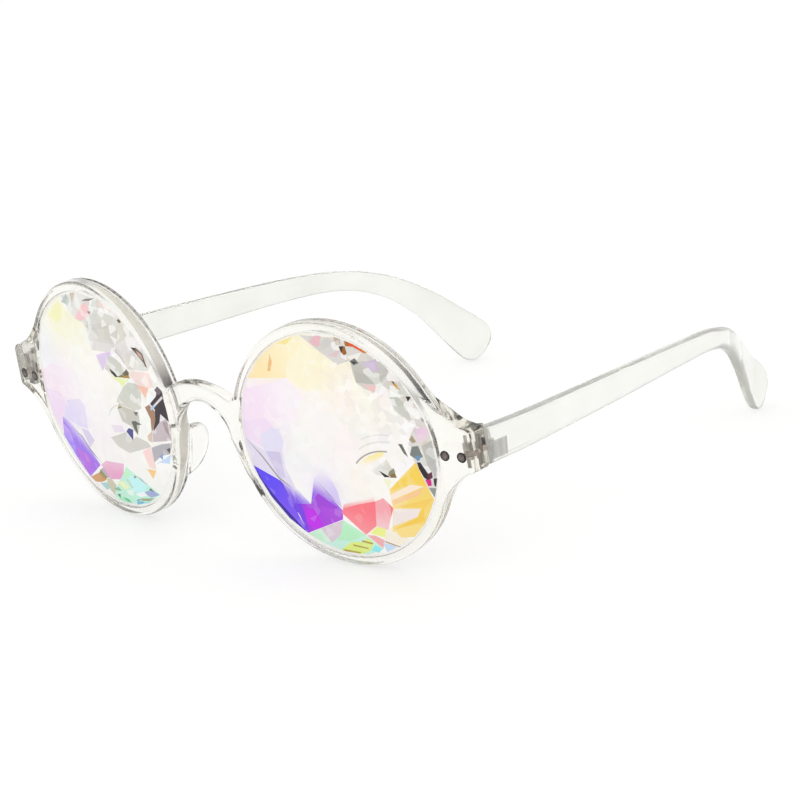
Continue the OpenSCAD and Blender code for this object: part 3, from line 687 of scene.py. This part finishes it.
    ((56, 50, 56), [(23.5, -5.2), (24.4, -5.1), (23.8, -7.2), (23.4, -6.6)]),
    ((146, 152, 146), [(22, -7.4), (23.9, -7.4), (23, -9.6)]),
    ((106, 108, 98), [(16.3, 2.1), (17.3, 2.1), (18.3, -0.7), (17.4, 0)]),
    # the arc of light and the chip below it
    ((255, 240, 168), [(5.4, -3.5), (8, -1.4), (12.6, 0.4), (12, -1), (8, -3.3)], (None, (9, -1),
        (9.4, -3.6))),
    ((222, 220, 212), [(8.2, -4.4), (9.6, -3.8), (12.8, -1.6), (13.6, -3.4), (14.6, -4.2),
        (13.5, -5.6), (9.5, -5.4)], ((244, 242, 236), (12, -4.6), (10, -2.6))),
    ((146, 142, 116), [(12.4, -5.4), (12.8, -4.4), (14.2, -3.5), (14.4, -5.6)]),
    ((34, 28, 8), [(10.3, -4.4), (11.4, -4.9), (12.9, -5.7), (11.4, -5.8)]),
    ((140, 112, 56), [(12.8, -5.8), (14.5, -5.7), (14.3, -4.8), (13.2, -4.9)]),
    ((244, 247, 208), [(11, -6.2), (13, -6.2), (12, -8.6)])]
# The right crystal's, seen from the front through a mirror
far_clouds = [
    (-14, 16, 6, (251, 249, 222)), (-5, 13, 7, (254, 253, 238)), (-21, 8, 5, (238, 246, 250)),
    (-16, 2, 7, (251, 236, 248)), (-13, -6, 5, (236, 228, 250)), (-3, 2, 7, (254, 253, 250)),
    (-3, -9, 6, (253, 244, 248)), (6, -3, 5, (250, 246, 244)), (10, -13, 5, (253, 252, 246))]
far_patches = [
    # straw at the top left, pink and lavender at the left
    ((251, 249, 220), [(-18, 18), (-11.5, 21.5), (-7.5, 19.8), (-2, 19), (-0.6, 16), (-1, 10),
        (-8, 12), (-16, 14)], (None, (-9, 18), (-5, 10))),
    ((248, 247, 192), [(-17, 17), (-12, 21.2), (-10.2, 20.6), (-11, 17.4), (-13, 15.8)]),
    ((250, 234, 246), [(-24.8, 2), (-20, 5), (-9, 5.4), (-7, 2), (-8, -2), (-15, -3), (-24.4, -5)],
        ((253, 246, 251), (-20, 0), (-8, 3))),
    ((246, 224, 248), [(-24.5, -2), (-18, -1.6), (-15, -4), (-19, -7.8), (-21, -12),
        (-23.6, -8)]),
    ((230, 222, 250), [(-15.4, -3), (-9, -1.2), (-7.4, -3), (-8.6, -8.6), (-14.5, -8.4),
        (-18.6, -7.8)], ((238, 230, 250), (-14, -7), (-9, -2))),
    ((222, 212, 240), [(-11.4, -9), (-8.5, -9), (-6.8, -11), (-9.6, -13.4)]),
    ((174, 136, 180), [(-22.9, 12.1), (-21.8, 13.3), (-21.2, 13), (-22, 12.1)]),
    # violet, with a spike that fades upward
    ((154, 108, 242), [(-20.9, -12.9), (-19.2, -7.8), (-16.6, -8.2), (-12, -11.4), (-7, -17),
        (-12.9, -21.4)], (None, (-15.6, -12.6), (-13, -8.6))),
    ((158, 122, 252), [(-20.9, -12.9), (-19.6, -9.6), (-17.2, -11), (-16.3, -14.8), (-17, -17.6)],
        ((196, 160, 246), (-18, -15), (-18.4, -10))),
    ((166, 96, 238), [(-16.4, -14.6), (-7, -17.2), (-12.9, -21.4), (-17, -17.6)]),
    ((186, 100, 232), [(-16.3, -14.7), (-10.4, -15.8), (-12, -20), (-13.6, -20.4), (-15.4, -17)]),
    ((130, 118, 138), [(-16.5, -9.4), (-12, -11), (-9.4, -14), (-5.8, -16.7), (-9.8, -14.2),
        (-12.2, -11.2)]),
    # rose and brown
    ((236, 168, 204), [(-6.6, -17), (-4, -15.4), (3.4, -14.6), (1.6, -18.8), (-4, -20)],
        ((240, 190, 216), (-1, -18.6), (-1.4, -15))),
    ((190, 106, 106), [(0.6, -19.1), (2.5, -18.2), (1.7, -19.2)]),
    ((208, 146, 70), [(-12.9, -21.5), (-8.3, -19.3), (-5.8, -20.6), (-8.5, -21.8), (-11, -22.2)]),
    ((140, 146, 74), [(-8.4, -19.4), (-7.4, -18.3), (-5.2, -19.9), (-6.2, -20.5)]),
    ((196, 174, 190), [(-7.4, -18.3), (-5.8, -17.5), (-4, -19.6), (-5.2, -19.9)]),
    ((206, 204, 176), [(-5.3, -20), (-3.5, -19.8), (-2.2, -21.2), (-4.2, -24.2), (-6.4, -22)]),
    ((168, 214, 216), [(-9.2, -22.2), (-6.4, -21.3), (-5.4, -22.6), (-7, -23.4)]),
    # mint and aqua
    ((196, 246, 224), [(-2.8, -22), (2.5, -17), (4, -15.2), (7, -16.5), (11, -18), (14.8, -19.8),
        (11, -23.4), (6, -25), (-1, -25.2), (-4.2, -24.4)]),
    ((200, 251, 252), [(4.2, -17.3), (7, -16.9), (10.8, -18.6), (8, -21.4), (4.6, -21)]),
    ((168, 246, 202), [(-3, -23.8), (2.8, -23.6), (1, -25.2), (-2.6, -25.2)]),
    ((166, 174, 220), [(8.6, -20.6), (12, -19.2), (14.6, -20), (11, -21.4)]),
    ((92, 108, 80), [(11, -19.4), (11.8, -18.9), (13, -19.7)]),
    ((164, 170, 130), [(6.6, -22.5), (12.2, -21.3), (10, -22.5), (7, -23)]),
    ((116, 184, 220), [(4.6, -24.5), (8.4, -23.2), (7, -23.1), (5, -23.5)]),
    ((172, 226, 248), [(7.5, -23.4), (11.2, -22.3), (9, -24.2)]),
    ((100, 122, 100), [(-3, -23.6), (-1.5, -23.2), (-2, -24.3)]),
    ((244, 250, 196), [(-1.2, -20.2), (1, -19.3), (3.2, -20.6), (1, -21.5)]),
    ((196, 250, 196), [(2.6, -17.4), (4.2, -15.6), (5, -17), (3.4, -18)]),
    ((254, 255, 252), [(8.4, -15.4), (13.6, -15.6), (16, -18), (13.4, -19), (11, -18.2)]),
    ((186, 206, 202), [(7.4, -16.7), (9.2, -17.1), (11.2, -18.3), (9, -17.8)]),
    ((150, 160, 126), [(5.9, -17.6), (6.6, -16.8), (7.5, -17), (6.6, -17.5)]),
    ((196, 220, 208), [(2.6, -18.6), (3.3, -18.4), (4.9, -20.2), (4.2, -20.5)]),
    ((250, 255, 254), [(5, -21.8), (8.8, -20.3), (9.8, -21.1), (7, -22.1)]),
    ((236, 255, 246), [(1.4, -21.7), (4.4, -20.7), (4.2, -22.3), (2.4, -22.6)]),
    ((128, 190, 150), [(-3.7, -22.4), (-1.6, -21.4), (-0.4, -22.1), (-2, -22.5)]),
    ((104, 184, 142), [(-0.7, -23.7), (1.5, -23.9), (2.7, -24.7), (0.4, -24.4)]),
    ((96, 160, 186), [(4.9, -23.2), (6.7, -22.6), (6.4, -23), (5, -23.5)]),
    # grey and pink at the top
    ((232, 231, 226), [(-10, 23), (-7.5, 19.8), (-5, 18.4), (-2, 18), (-1.2, 16.5), (0, 12),
        (7, 12.7), (10, 13), (12.8, 9.8), (20, 10.5), (21.6, 12.5), (17, 18.6), (12, 22),
        (5, 24.8), (-3, 25)]),
    ((224, 223, 215), [(-1.3, 16.2), (3, 14.4), (10, 15), (15.6, 18), (12, 21), (6, 22),
        (0, 19.6)]),
    ((216, 214, 204), [(-1.2, 17.6), (8, 19.8), (8, 18.6), (-1.2, 16.2)]),
    ((250, 204, 206), [(-5.2, 18.6), (-2, 22), (0.6, 23.2), (1.3, 20.6), (-1, 19), (-3.4, 18.1)]),
    ((186, 198, 188), [(-10.2, 21.4), (-7.8, 24), (-6.3, 22.4), (-7.5, 21)]),
    ((210, 196, 176), [(-6, 24.6), (-4, 24.8), (-5.5, 21.8)]),
    ((136, 116, 110), [(-1.6, 23.1), (0, 23.8), (4, 25), (1.5, 23.6)]),
    ((148, 124, 122), [(0.1, 21), (1.7, 21.2), (1, 20.5)]),
    ((100, 80, 76), [(11.5, 20.9), (12.4, 21.3), (13.1, 20.7), (12.2, 20.3)]),
    ((248, 247, 243), [(1, 22.4), (10, 22.8), (12, 21.4), (6, 21.8)]),
    ((248, 222, 214), [(4.4, 24.2), (7, 23.8), (10.2, 22.3), (5, 23.2)]),
    ((106, 88, 78), [(15.2, 15.2), (17, 15.4), (19, 14.4), (19.9, 11.5), (18.6, 12.6),
        (16.8, 14)]),
    ((34, 30, 28), [(15.1, 15.3), (17, 15.3), (16, 14.6)]),
    ((34, 30, 28), [(19.1, 12.6), (20.1, 11.2), (19.3, 11.6)]),
    ((204, 168, 158), [(16.9, 14.8), (18.6, 14.2), (19, 12.8), (17.4, 13.8)]),
    # the upper chip and the facets round it
    ((248, 222, 244), [(0.8, 11), (7.5, 13.2), (8.4, 12.6), (3, 10.8)]),
    ((226, 208, 240), [(1.4, 11), (7.6, 13), (6, 11), (3, 7.6)]),
    ((218, 220, 211), [(4, 8.4), (6.4, 12), (9, 11.4), (12.6, 9.6), (10, 8), (8, 7.2), (6, 7.6)]),
    ((238, 246, 178), [(5.5, 7.2), (8, 7), (12.6, 7.4), (9.8, 5.1), (8.6, 6)]),
    ((128, 120, 48), [(7.8, 7.1), (10, 8), (12.8, 8.4), (13.1, 7.7), (10, 7.4)]),
    ((180, 134, 60), [(10.4, 7.7), (12.8, 8.4), (13.1, 7.8), (11, 7.4)]),
    ((100, 94, 72), [(10.1, 8.1), (12.4, 9.7), (13.1, 9), (12.8, 8.3)]),
    ((18, 20, 8), [(5.8, 8.8), (7.6, 8.1), (8.6, 7.2), (7.4, 7.1), (6.3, 7.9)]),
    ((253, 230, 223), [(13, 8.4), (14.4, 9.7), (20.4, 10.2), (21.2, 7), (19, 6.4), (15, 6.9)]),
    ((250, 200, 176), [(14.8, 6.7), (19.3, 6.5), (17.6, 3.8), (16.4, 5)]),
    ((218, 218, 209), [(10, 5.2), (12, 6.6), (15, 6.8), (16.2, 4.8), (15.2, 1), (13, 0), (9, 0.5),
        (6, 1)]),
    # the lower chips
    ((206, 203, 193), [(6, -0.6), (7.4, 0.6), (10, 0.2), (14, 0), (13.6, -3), (11.8, -6),
        (9.5, -4), (7, -3.5)]),
    ((146, 138, 70), [(6.1, -0.7), (7, 0.7), (8.6, 0.5), (7.4, -0.3)]),
    ((96, 98, 92), [(12, -0.4), (13.8, -0.1), (12.8, -1.2)]),
    ((96, 98, 92), [(10.5, -2.9), (12, -2.5), (14.2, -3), (12.3, -3.4), (12, -5.8), (11, -4.6)]),
    ((216, 214, 207), [(0.8, -8.6), (5, -7), (7.4, -6), (9.5, -7.6), (11, -6.4), (15, -7),
        (16, -8), (7, -11.2), (3, -10.4)]),
    ((240, 230, 242), [(2, -5.4), (6.5, -4.6), (7.2, -6), (3, -7)]),
    ((70, 72, 138), [(7.7, -5.8), (9, -4.7), (10.5, -4.9), (9.6, -7.7)]),
    ((254, 220, 216), [(12.3, -9.8), (15.6, -8), (16, -13.6), (13.4, -13.4)]),
    ((253, 204, 128), [(12.3, -14), (15.8, -13.8), (13.8, -16.2)]),
    # the dark side, split by a white streak
    ((222, 200, 182), [(15.4, -5.4), (17.8, -3.8), (16.8, -6.8), (15.4, -6.6)]),
    ((166, 126, 96), [(16.7, 1.6), (18.4, 2.5), (20.3, 1), (19, -2.6), (17.4, -4.2), (18, -1)]),
    ((44, 32, 42), [(18.8, 2.8), (21.5, 5), (22.6, 7.5), (24, 6.6), (24.6, 3.6), (24.3, -0.6),
        (21.8, 0.8), (21, -1.2), (18, -4), (19.6, -1), (20.2, 1.6)]),
    ((112, 100, 106), [(21.3, 6.4), (22.6, 7.5), (23.9, 6.4), (22.4, 5.3)]),
    ((240, 230, 226), [(18.9, 1.3), (23.9, 4.9), (23.6, 5.4), (19, 1.9)]),
    ((184, 212, 238), [(18.7, 1.1), (20.4, 2.3), (20, 2.7), (18.6, 1.7)]),
    ((240, 238, 240), [(21.8, 0.9), (23.3, 0), (21.5, -0.6)]),
    ((204, 192, 200), [(17.8, -4.2), (21, -1.2), (23.4, 0), (24.6, -1.5), (24.6, -5),
        (17, -6.6)]),
    ((170, 152, 148), [(22, -1), (23.8, -0.8), (23.5, -4.2), (22.4, -3)]),
    ((182, 180, 186), [(15.9, -8.2), (20, -6.6), (24.4, -5.5), (22.2, -8.6), (19, -9.6),
        (15.8, -11.8)]),
    ((96, 86, 82), [(21.4, -7.6), (22.9, -6.9), (22.4, -8.5)]),
    ((140, 162, 212), [(18, -9.9), (19.7, -8.9), (19.3, -10.5)]),
    ((200, 224, 253), [(15.8, -12.4), (22.6, -8.6), (21.6, -11), (18, -11.4)])]
# Thin curved streaks of painted light over the mosaic: centre, radius, first and last angle in
# degrees, and width
near_patches += [(tint, arc_band(*arc)) for tint, arc in (
    ((176, 170, 160), (12.5, -10.5, 10.8, 86, 137, 0.35)),
    ((232, 230, 228), (12.8, -9, 11.4, 84, 126, 0.3)),
    ((236, 234, 232), (13, -8.6, 12.6, 84, 118, 0.3)))]
far_patches += [(tint, arc_band(*arc)) for tint, arc in (
    ((226, 224, 222), (8.1, -7, 7.5, 85, 150, 0.3)),
    ((196, 194, 190), (5, 5.6, 9, 38, 66, 0.35)))]
crystal("left_crystal", "left_lens", 1, near_clouds, near_patches, (28, 22))
crystal("right_crystal", "right_lens", -1, far_clouds, far_patches, (14, 10))

# The rivets: two steel pins in each end block, pushed in from the front, with low domed heads that
# have a turned groove. The inner one is a short stud. The outer one goes through to the hinge leaf
# behind, and its tail is spread a little over it. A profile runs from the crown to the tail.
inner_u, outer_u, rivet_w = 27.7, 31.9, 0.4


def steel(name, colour, lined, axis_scale):
    """Satin steel: fine turned or drawn lines, darker where dirt lies, and duller there. The colour
    is one colour, or the name of the attribute that carries the piece's own colours and any painted
    shade."""
    f = Finish(bpy.data.materials.new(name))
    lines = f.noise(f.place(axis_scale), 1.0, 3.0, 0.6)
    dirt = f.wear(0.45, 0.75, f.noise(f.place(), 900.0, 3.0, 0.6))
    own = f.painted(colour) if isinstance(colour, str) else ink(*colour)
    shade = f.tinted(f.wear(0.35, 0.65, lines), own, ink(*lined))
    shade = f.tinted(dirt * 0.3, shade, ink(190, 184, 178))
    return f.end(f.principled({
        "Base Color": shade, "Metallic": 1.0,
        "Roughness": dirt * 0.2 + lines * 0.2 + 0.2, "Normal": f.bump(lines, 0.25, 0.00005)}))


def ring_faces(rings, around, side):
    """Quads between rings of points, each to the next, and a face over either end, all of them
    turned outward on both sides of the front."""
    i, j = np.meshgrid(np.arange(rings - 1), np.arange(around), indexing="ij")
    beside = (j + 1) % around
    quads = np.stack([i * around + j, i * around + beside, (i + 1) * around + beside,
                      (i + 1) * around + j], -1).reshape(-1, 4)
    ends = [list(range(around))[::-1], list(range((rings - 1) * around, rings * around))]
    return [face[::-1] if side > 0 else face for face in quads.tolist() + ends]


def turned(profile, u, w, side, around=48):
    """A profile of radius and depth, carried round an axis that runs backward at u and w."""
    profile = np.array(profile)
    a = np.linspace(0, 2 * np.pi, around, endpoint=False)
    points = [u + profile[:, :1] * np.cos(a), np.repeat(profile[:, 1:], around, 1),
              w + profile[:, :1] * np.sin(a)]
    points = stand(swept(np.stack(points, -1).reshape(-1, 3), side))
    return points, ring_faces(len(profile), around, side)


rivet_steel = steel("rivet_steel", "rivet_tint", (165, 158, 154), (900, 900, 900))
# Ring by ring, the crown is worn, the groove and the head's edge are painted dark as shade after a
# dimmer ring, and the shank is bare
worn, dim, groove_shade, bare = ink(138, 130, 125), ink(96, 88, 84), ink(46, 40, 39), ink(244, 232, 226)
head_tints = [worn] * 5 + [dim] + [groove_shade] * 6 + [worn, bare]
head_profile = [(0.02, -0.14), (0.3, -0.13), (0.6, -0.09), (0.7, -0.05), (0.74, 0.06),
                (0.82, 0.08), (0.9, 0.02), (1.0, -0.03), (1.08, 0.0), (1.12, 0.07), (1.12, 0.4),
                (1.07, 0.44), (0.66, 0.45), (0.6, 0.5)]
stud_profile = head_profile + [(0.6, 1.3), (0.45, 1.46), (0.02, 1.5)]
pin_profile = head_profile + [(0.6, 5.36), (0.78, 5.42), (0.84, 5.5), (0.78, 5.58), (0.5, 5.64),
                              (0.02, 5.65)]
for side, word in ((1, "left"), (-1, "right")):
    for u, which, profile in ((inner_u, "inner", stud_profile), (outer_u, "outer", pin_profile)):
        points, faces = turned(profile, u, rivet_w, side)
        rivet = new_piece(f"{word}_{which}_rivet_head", points, faces, "front", rivet_steel,
                          "rivet_steel")
        tints = np.array(head_tints + [bare] * (len(profile) - len(head_tints)))
        paint(rivet, "rivet_tint", "POINT", np.repeat(tints, len(points) // len(profile), 0))
        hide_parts(f"{word}_{which}_rivet")

# The hinges: pressed steel leaves, one riveted behind the end block and one let into the arm, that
# meet in three knuckles on a slotted screw. The leaves are satin and the screw is darker.
leaf_steel = steel("leaf_steel", (214, 210, 205), (136, 132, 128), (1700, 1700, 90))
screw_steel = steel("screw_steel", (168, 164, 160), (149, 146, 143), (2500, 2500, 200))
for word in ("left", "right"):
    for part, finish in (("front_leaf", leaf_steel), ("arm_leaf", leaf_steel),
                         ("hinge_screw", screw_steel)):
        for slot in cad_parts[f"{word}_{part}"].material_slots:
            slot.link, slot.material = "OBJECT", finish

# The arms: slightly milky clear strips, moulded flat with rounded edges, that narrow towards the
# ear, turn down and in behind it and end in a round paddle. A pocket on the inner side of each
# holds the hinge leaf.
arm_t, arm_reach, arm_inset, arm_drop, arm_rise, tip_w = 2.3, 120.0, 9.9, 38.7, 1.7, 11.4
outer_face_u, block_gap, squareness, tip_rows = 36, 0.15, 0.45, 0.62
arm_u, hinge_v, hinge_w = outer_face_u - arm_t / 2, 7.0, 0.6
pocket_ends, sharpest_smooth = ((30.0, 34.5), (-0.1, 4.7), (-2.7, 0.9)), np.radians(40)
# Shares of the reach, the inset, the drop and the paddle's width, from the hinge to the tip
arm_shares = np.array([
    [-0.014, 0, -0.005, 0.74], [0.13, -0.047, 0.056, 0.685], [0.38, -0.1, 0.142, 0.59],
    [0.6, -0.09, 0.22, 0.48], [0.73, 0.055, 0.292, 0.42], [0.82, 0.34, 0.41, 0.465],
    [0.888, 0.66, 0.585, 0.61], [0.945, 0.9, 0.8, 0.83], [1, 1, 1, 1]])


def arm_rows(s):
    """Rows of the table at places 0..1 along the arm, on the smooth curve through all rows whose
    slope at a row is half the step between its neighbours."""
    p = np.asarray(s) * (len(arm_shares) - 1)
    i = np.clip(np.floor(p).astype(int), 0, len(arm_shares) - 2)
    t = (p - i)[:, None]
    a, b, c, d = (arm_shares[np.clip(i + k, 0, len(arm_shares) - 1)] for k in (-1, 0, 1, 2))
    return b + t * (c - a) / 2 + t ** 2 * (2 * a - 5 * b + 4 * c - d) / 2 \
        + t ** 3 * (3 * b - a - 3 * c + d) / 2


def arm_middle(s):
    """The arm's middle line: from behind the end block it goes back, in and down by its shares of
    the reach, the inset and the drop."""
    q = arm_rows(s)
    return np.stack([arm_u - q[:, 1] * arm_inset, end_depth + q[:, 0] * arm_reach,
                     arm_rise - q[:, 2] * arm_drop], -1)


def arm_surface(side, rings=200, around=48):
    """A rounded rectangle carried along the arm's middle line, with its rings closer towards the
    tip and at the front, where the arm is cut off behind the end block. Round the section, the
    cosine and the sine are raised to a power below 1, which squares it, and both its width and its
    thickness fade to nothing over the tip as a circle does."""
    x, even, near = np.linspace(0, 1, rings), 0.75, 1e-5
    s = np.where(x < even, x, even + (1 - even) * np.sin(np.pi / 2 * (x - even) / (1 - even)))
    s = np.clip(s, 0, 1 - near)
    s[1:3] = s[0] + 0.0006, s[0] + 0.0018
    along = arm_middle(s + near) - arm_middle(s - near)
    along /= np.linalg.norm(along, axis=1, keepdims=True)
    across = np.cross(along, [0, 0, 1.0])
    across /= np.linalg.norm(across, axis=1, keepdims=True)
    up = np.cross(across, along)
    start = 1 - tip_rows / (len(arm_shares) - 1)
    fade = np.sqrt(np.maximum(0, 1 - np.maximum(0, (s - start) / (1 - start)) ** 2))
    half_w = arm_rows(s)[:, 3] * tip_w * fade / 2
    half_t = arm_t * np.sqrt(fade) / 2
    a = np.linspace(0, 2 * np.pi, around, endpoint=False)
    c, d = (np.sign(f) * np.abs(f) ** squareness for f in (np.cos(a), np.sin(a)))
    points = arm_middle(s)[:, None] + across[:, None] * (half_t[:, None] * c)[..., None] \
        + up[:, None] * (half_w[:, None] * d)[..., None]
    points[..., 1] = np.maximum(points[..., 1], end_depth + block_gap)
    return stand(swept(points.reshape(-1, 3), side)), ring_faces(rings, around, side)


def milky_plastic():
    """The arms' clear plastic, with a little milk in it: cloudy patches, faint lengthwise flow
    lines and rubbed edges."""
    f = Finish(bpy.data.materials.new("milky_plastic"))
    flow = f.noise(f.place((240, 12, 240)), 1.0, 0.0)
    cloud = f.wear(0.3, 0.75, f.noise(f.place(), 45.0))
    colour = f.blend(cloud, ink(255, 255, 253), ink(249, 249, 245))
    bump = f.bump(flow, 0.06, 0.0003)
    clear = f.principled({"Base Color": colour, "Roughness": flow * 0.04 + 0.03, "IOR": 1.49,
                          "Transmission Weight": 1.0, "Normal": bump})
    milk = f.principled({"Base Color": colour, "Roughness": flow * 0.1 + 0.12, "IOR": 1.49,
                         "Normal": bump})
    body = f.node("ShaderNodeMixShader", {}, {0: cloud * 0.1 + 0.16, 1: clear, 2: milk})
    return f.end_clear(body, (0.74, 0.74, 0.72, 1), ink(222, 222, 210), 50.0)


milky_finish = milky_plastic()


def pocket(side):
    """The pocket that the hinge leaf lies in: a block on the arm's inner side, tipped down with
    the arm by the angle of its first fall, about a level line through the hinge."""
    back, _, down, _ = arm_shares[1] - arm_shares[0]
    fall = np.arctan(down * arm_drop / (back * arm_reach))
    u, v, w = (ends.ravel() for ends in np.meshgrid(*pocket_ends, indexing="ij"))
    points = np.stack([u, hinge_v + v * np.cos(fall) + w * np.sin(fall),
                       hinge_w + w * np.cos(fall) - v * np.sin(fall)], -1)
    faces = [[0, 1, 3, 2], [4, 6, 7, 5], [0, 4, 5, 1], [2, 3, 7, 6], [0, 2, 6, 4], [1, 5, 7, 3]]
    return stand(swept(points, side)), [face[::side] for face in faces]


for side, word in ((1, "left"), (-1, "right")):
    body = f"{word}_arm_body"
    points, faces = arm_surface(side)
    arm = new_piece(f"{word}_milky_arm", points, faces, body, milky_finish, "milky_plastic")
    cutter = new_piece(f"{word}_pocket", *pocket(side), body, milky_finish, "milky_plastic",
                       smooth=False)
    cut = arm.modifiers.new("leaf_pocket", "BOOLEAN")
    cut.operation, cut.object, cut.solver = "DIFFERENCE", cutter, "EXACT"
    shown = arm.evaluated_get(bpy.context.evaluated_depsgraph_get())
    carved = bpy.data.meshes.new_from_object(shown)
    arm.modifiers.clear()
    arm.data = carved
    bpy.data.objects.remove(cutter)
    arm.data.set_sharp_from_angle(angle=sharpest_smooth)
    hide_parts(f"{word}_arm")

# The room: a plain pale floor, soft even light from all round with one large soft lamp, and the
# camera where the photograph was taken from, seen through a long lens.


def pale_floor():
    """A plain pale surface that the camera, gloss and glass see as white, with its shadow."""
    f = Finish(bpy.data.materials.new("pale_floor"))
    seen = f.ray("Camera") | f.ray("Glossy") | f.ray("Transmission")
    plain = f.principled({"Base Color": (0.86, 0.86, 0.86, 1), "Roughness": 0.8,
                          "Specular IOR Level": 0.1})
    bright = f.principled({"Base Color": (0.5, 0.5, 0.49, 1), "Roughness": 0.8,
                           "Specular IOR Level": 0.1, "Emission Color": (1, 1, 1, 1),
                           "Emission Strength": 0.5})
    return f.end(f.node("ShaderNodeMixShader", {}, {0: seen, 1: plain, 2: bright}))


floor_z, floor_corners = -0.0002, ((-6, -6), (6, -6), (6, 6), (-6, 6))
floor_mesh = bpy.data.meshes.new("floor")
floor_mesh.from_pydata([(x, y, floor_z) for x, y in floor_corners], [], [(0, 1, 2, 3)])
floor_mesh.materials.append(pale_floor())
floor = bpy.data.objects.new("floor", floor_mesh)
bpy.context.scene.collection.objects.link(floor)


def grey_walls():
    """Even white light. Gloss and glass also see the studio's grey walls, a soft band that is
    darkest at a height of about 20 degrees: one less a bell curve of the direction's height."""
    f = Finish(bpy.data.worlds.new("studio"))
    band_height, band_width, band_depth = 0.36, 0.13, 0.45
    direction = f.node("ShaderNodeTexCoord", out="Generated")
    height = f.node("ShaderNodeSeparateXYZ", {}, {0: direction}, out="Z")
    off = (height - band_height) / band_width
    bell = 2.718 ** (off * off * -1.0)
    level = 1.0 - bell * (f.ray("Glossy") | f.ray("Transmission")) * band_depth
    sky = f.node("ShaderNodeBackground", {}, {"Color": (1, 1, 1, 1), "Strength": level})
    return f.end(sky, kind="ShaderNodeOutputWorld")


bpy.context.scene.world = grey_walls()


def lamp(name, place, target, size, power):
    """A square soft lamp that faces a target."""
    light = bpy.data.lights.new(name, "AREA")
    light.shape, light.size, light.energy = "SQUARE", size, power
    made = bpy.data.objects.new(name, light)
    made.location = place
    made.rotation_euler = (Vector(target) - Vector(place)).to_track_quat("-Z", "Y").to_euler()
    bpy.context.scene.collection.objects.link(made)


lamp("key_lamp", (0.25, -0.75, 0.7), (0, 0, 0), 0.6, 1.0)

# The camera: its turn round the object, its height and roll, its place in metres and its lens in
# millimetres, all found by fitting the model's outline to the photograph's
turn, height, roll = np.radians(45.47), np.radians(16.84), np.radians(-5.97)
camera_place, focal_length, sensor = (0.61383, -0.61131, 0.27685), 179.985, 36
back = np.array([np.sin(turn) * np.cos(height), -np.cos(turn) * np.cos(height), np.sin(height)])
level = np.array([np.cos(turn), np.sin(turn), 0])
upright = np.cross(back, level)
right = np.cos(roll) * level + np.sin(roll) * upright
up = -np.sin(roll) * level + np.cos(roll) * upright
camera_data = bpy.data.cameras.new("camera")
camera_data.sensor_width, camera_data.lens = sensor, focal_length
camera = bpy.data.objects.new("camera", camera_data)
pose = np.eye(4)
pose[:3] = np.stack([right, up, back, camera_place], -1)
camera.matrix_world = Matrix(pose.tolist())
bpy.context.scene.collection.objects.link(camera)
bpy.context.scene.camera = camera
bpy.context.scene.view_settings.view_transform = "Standard"
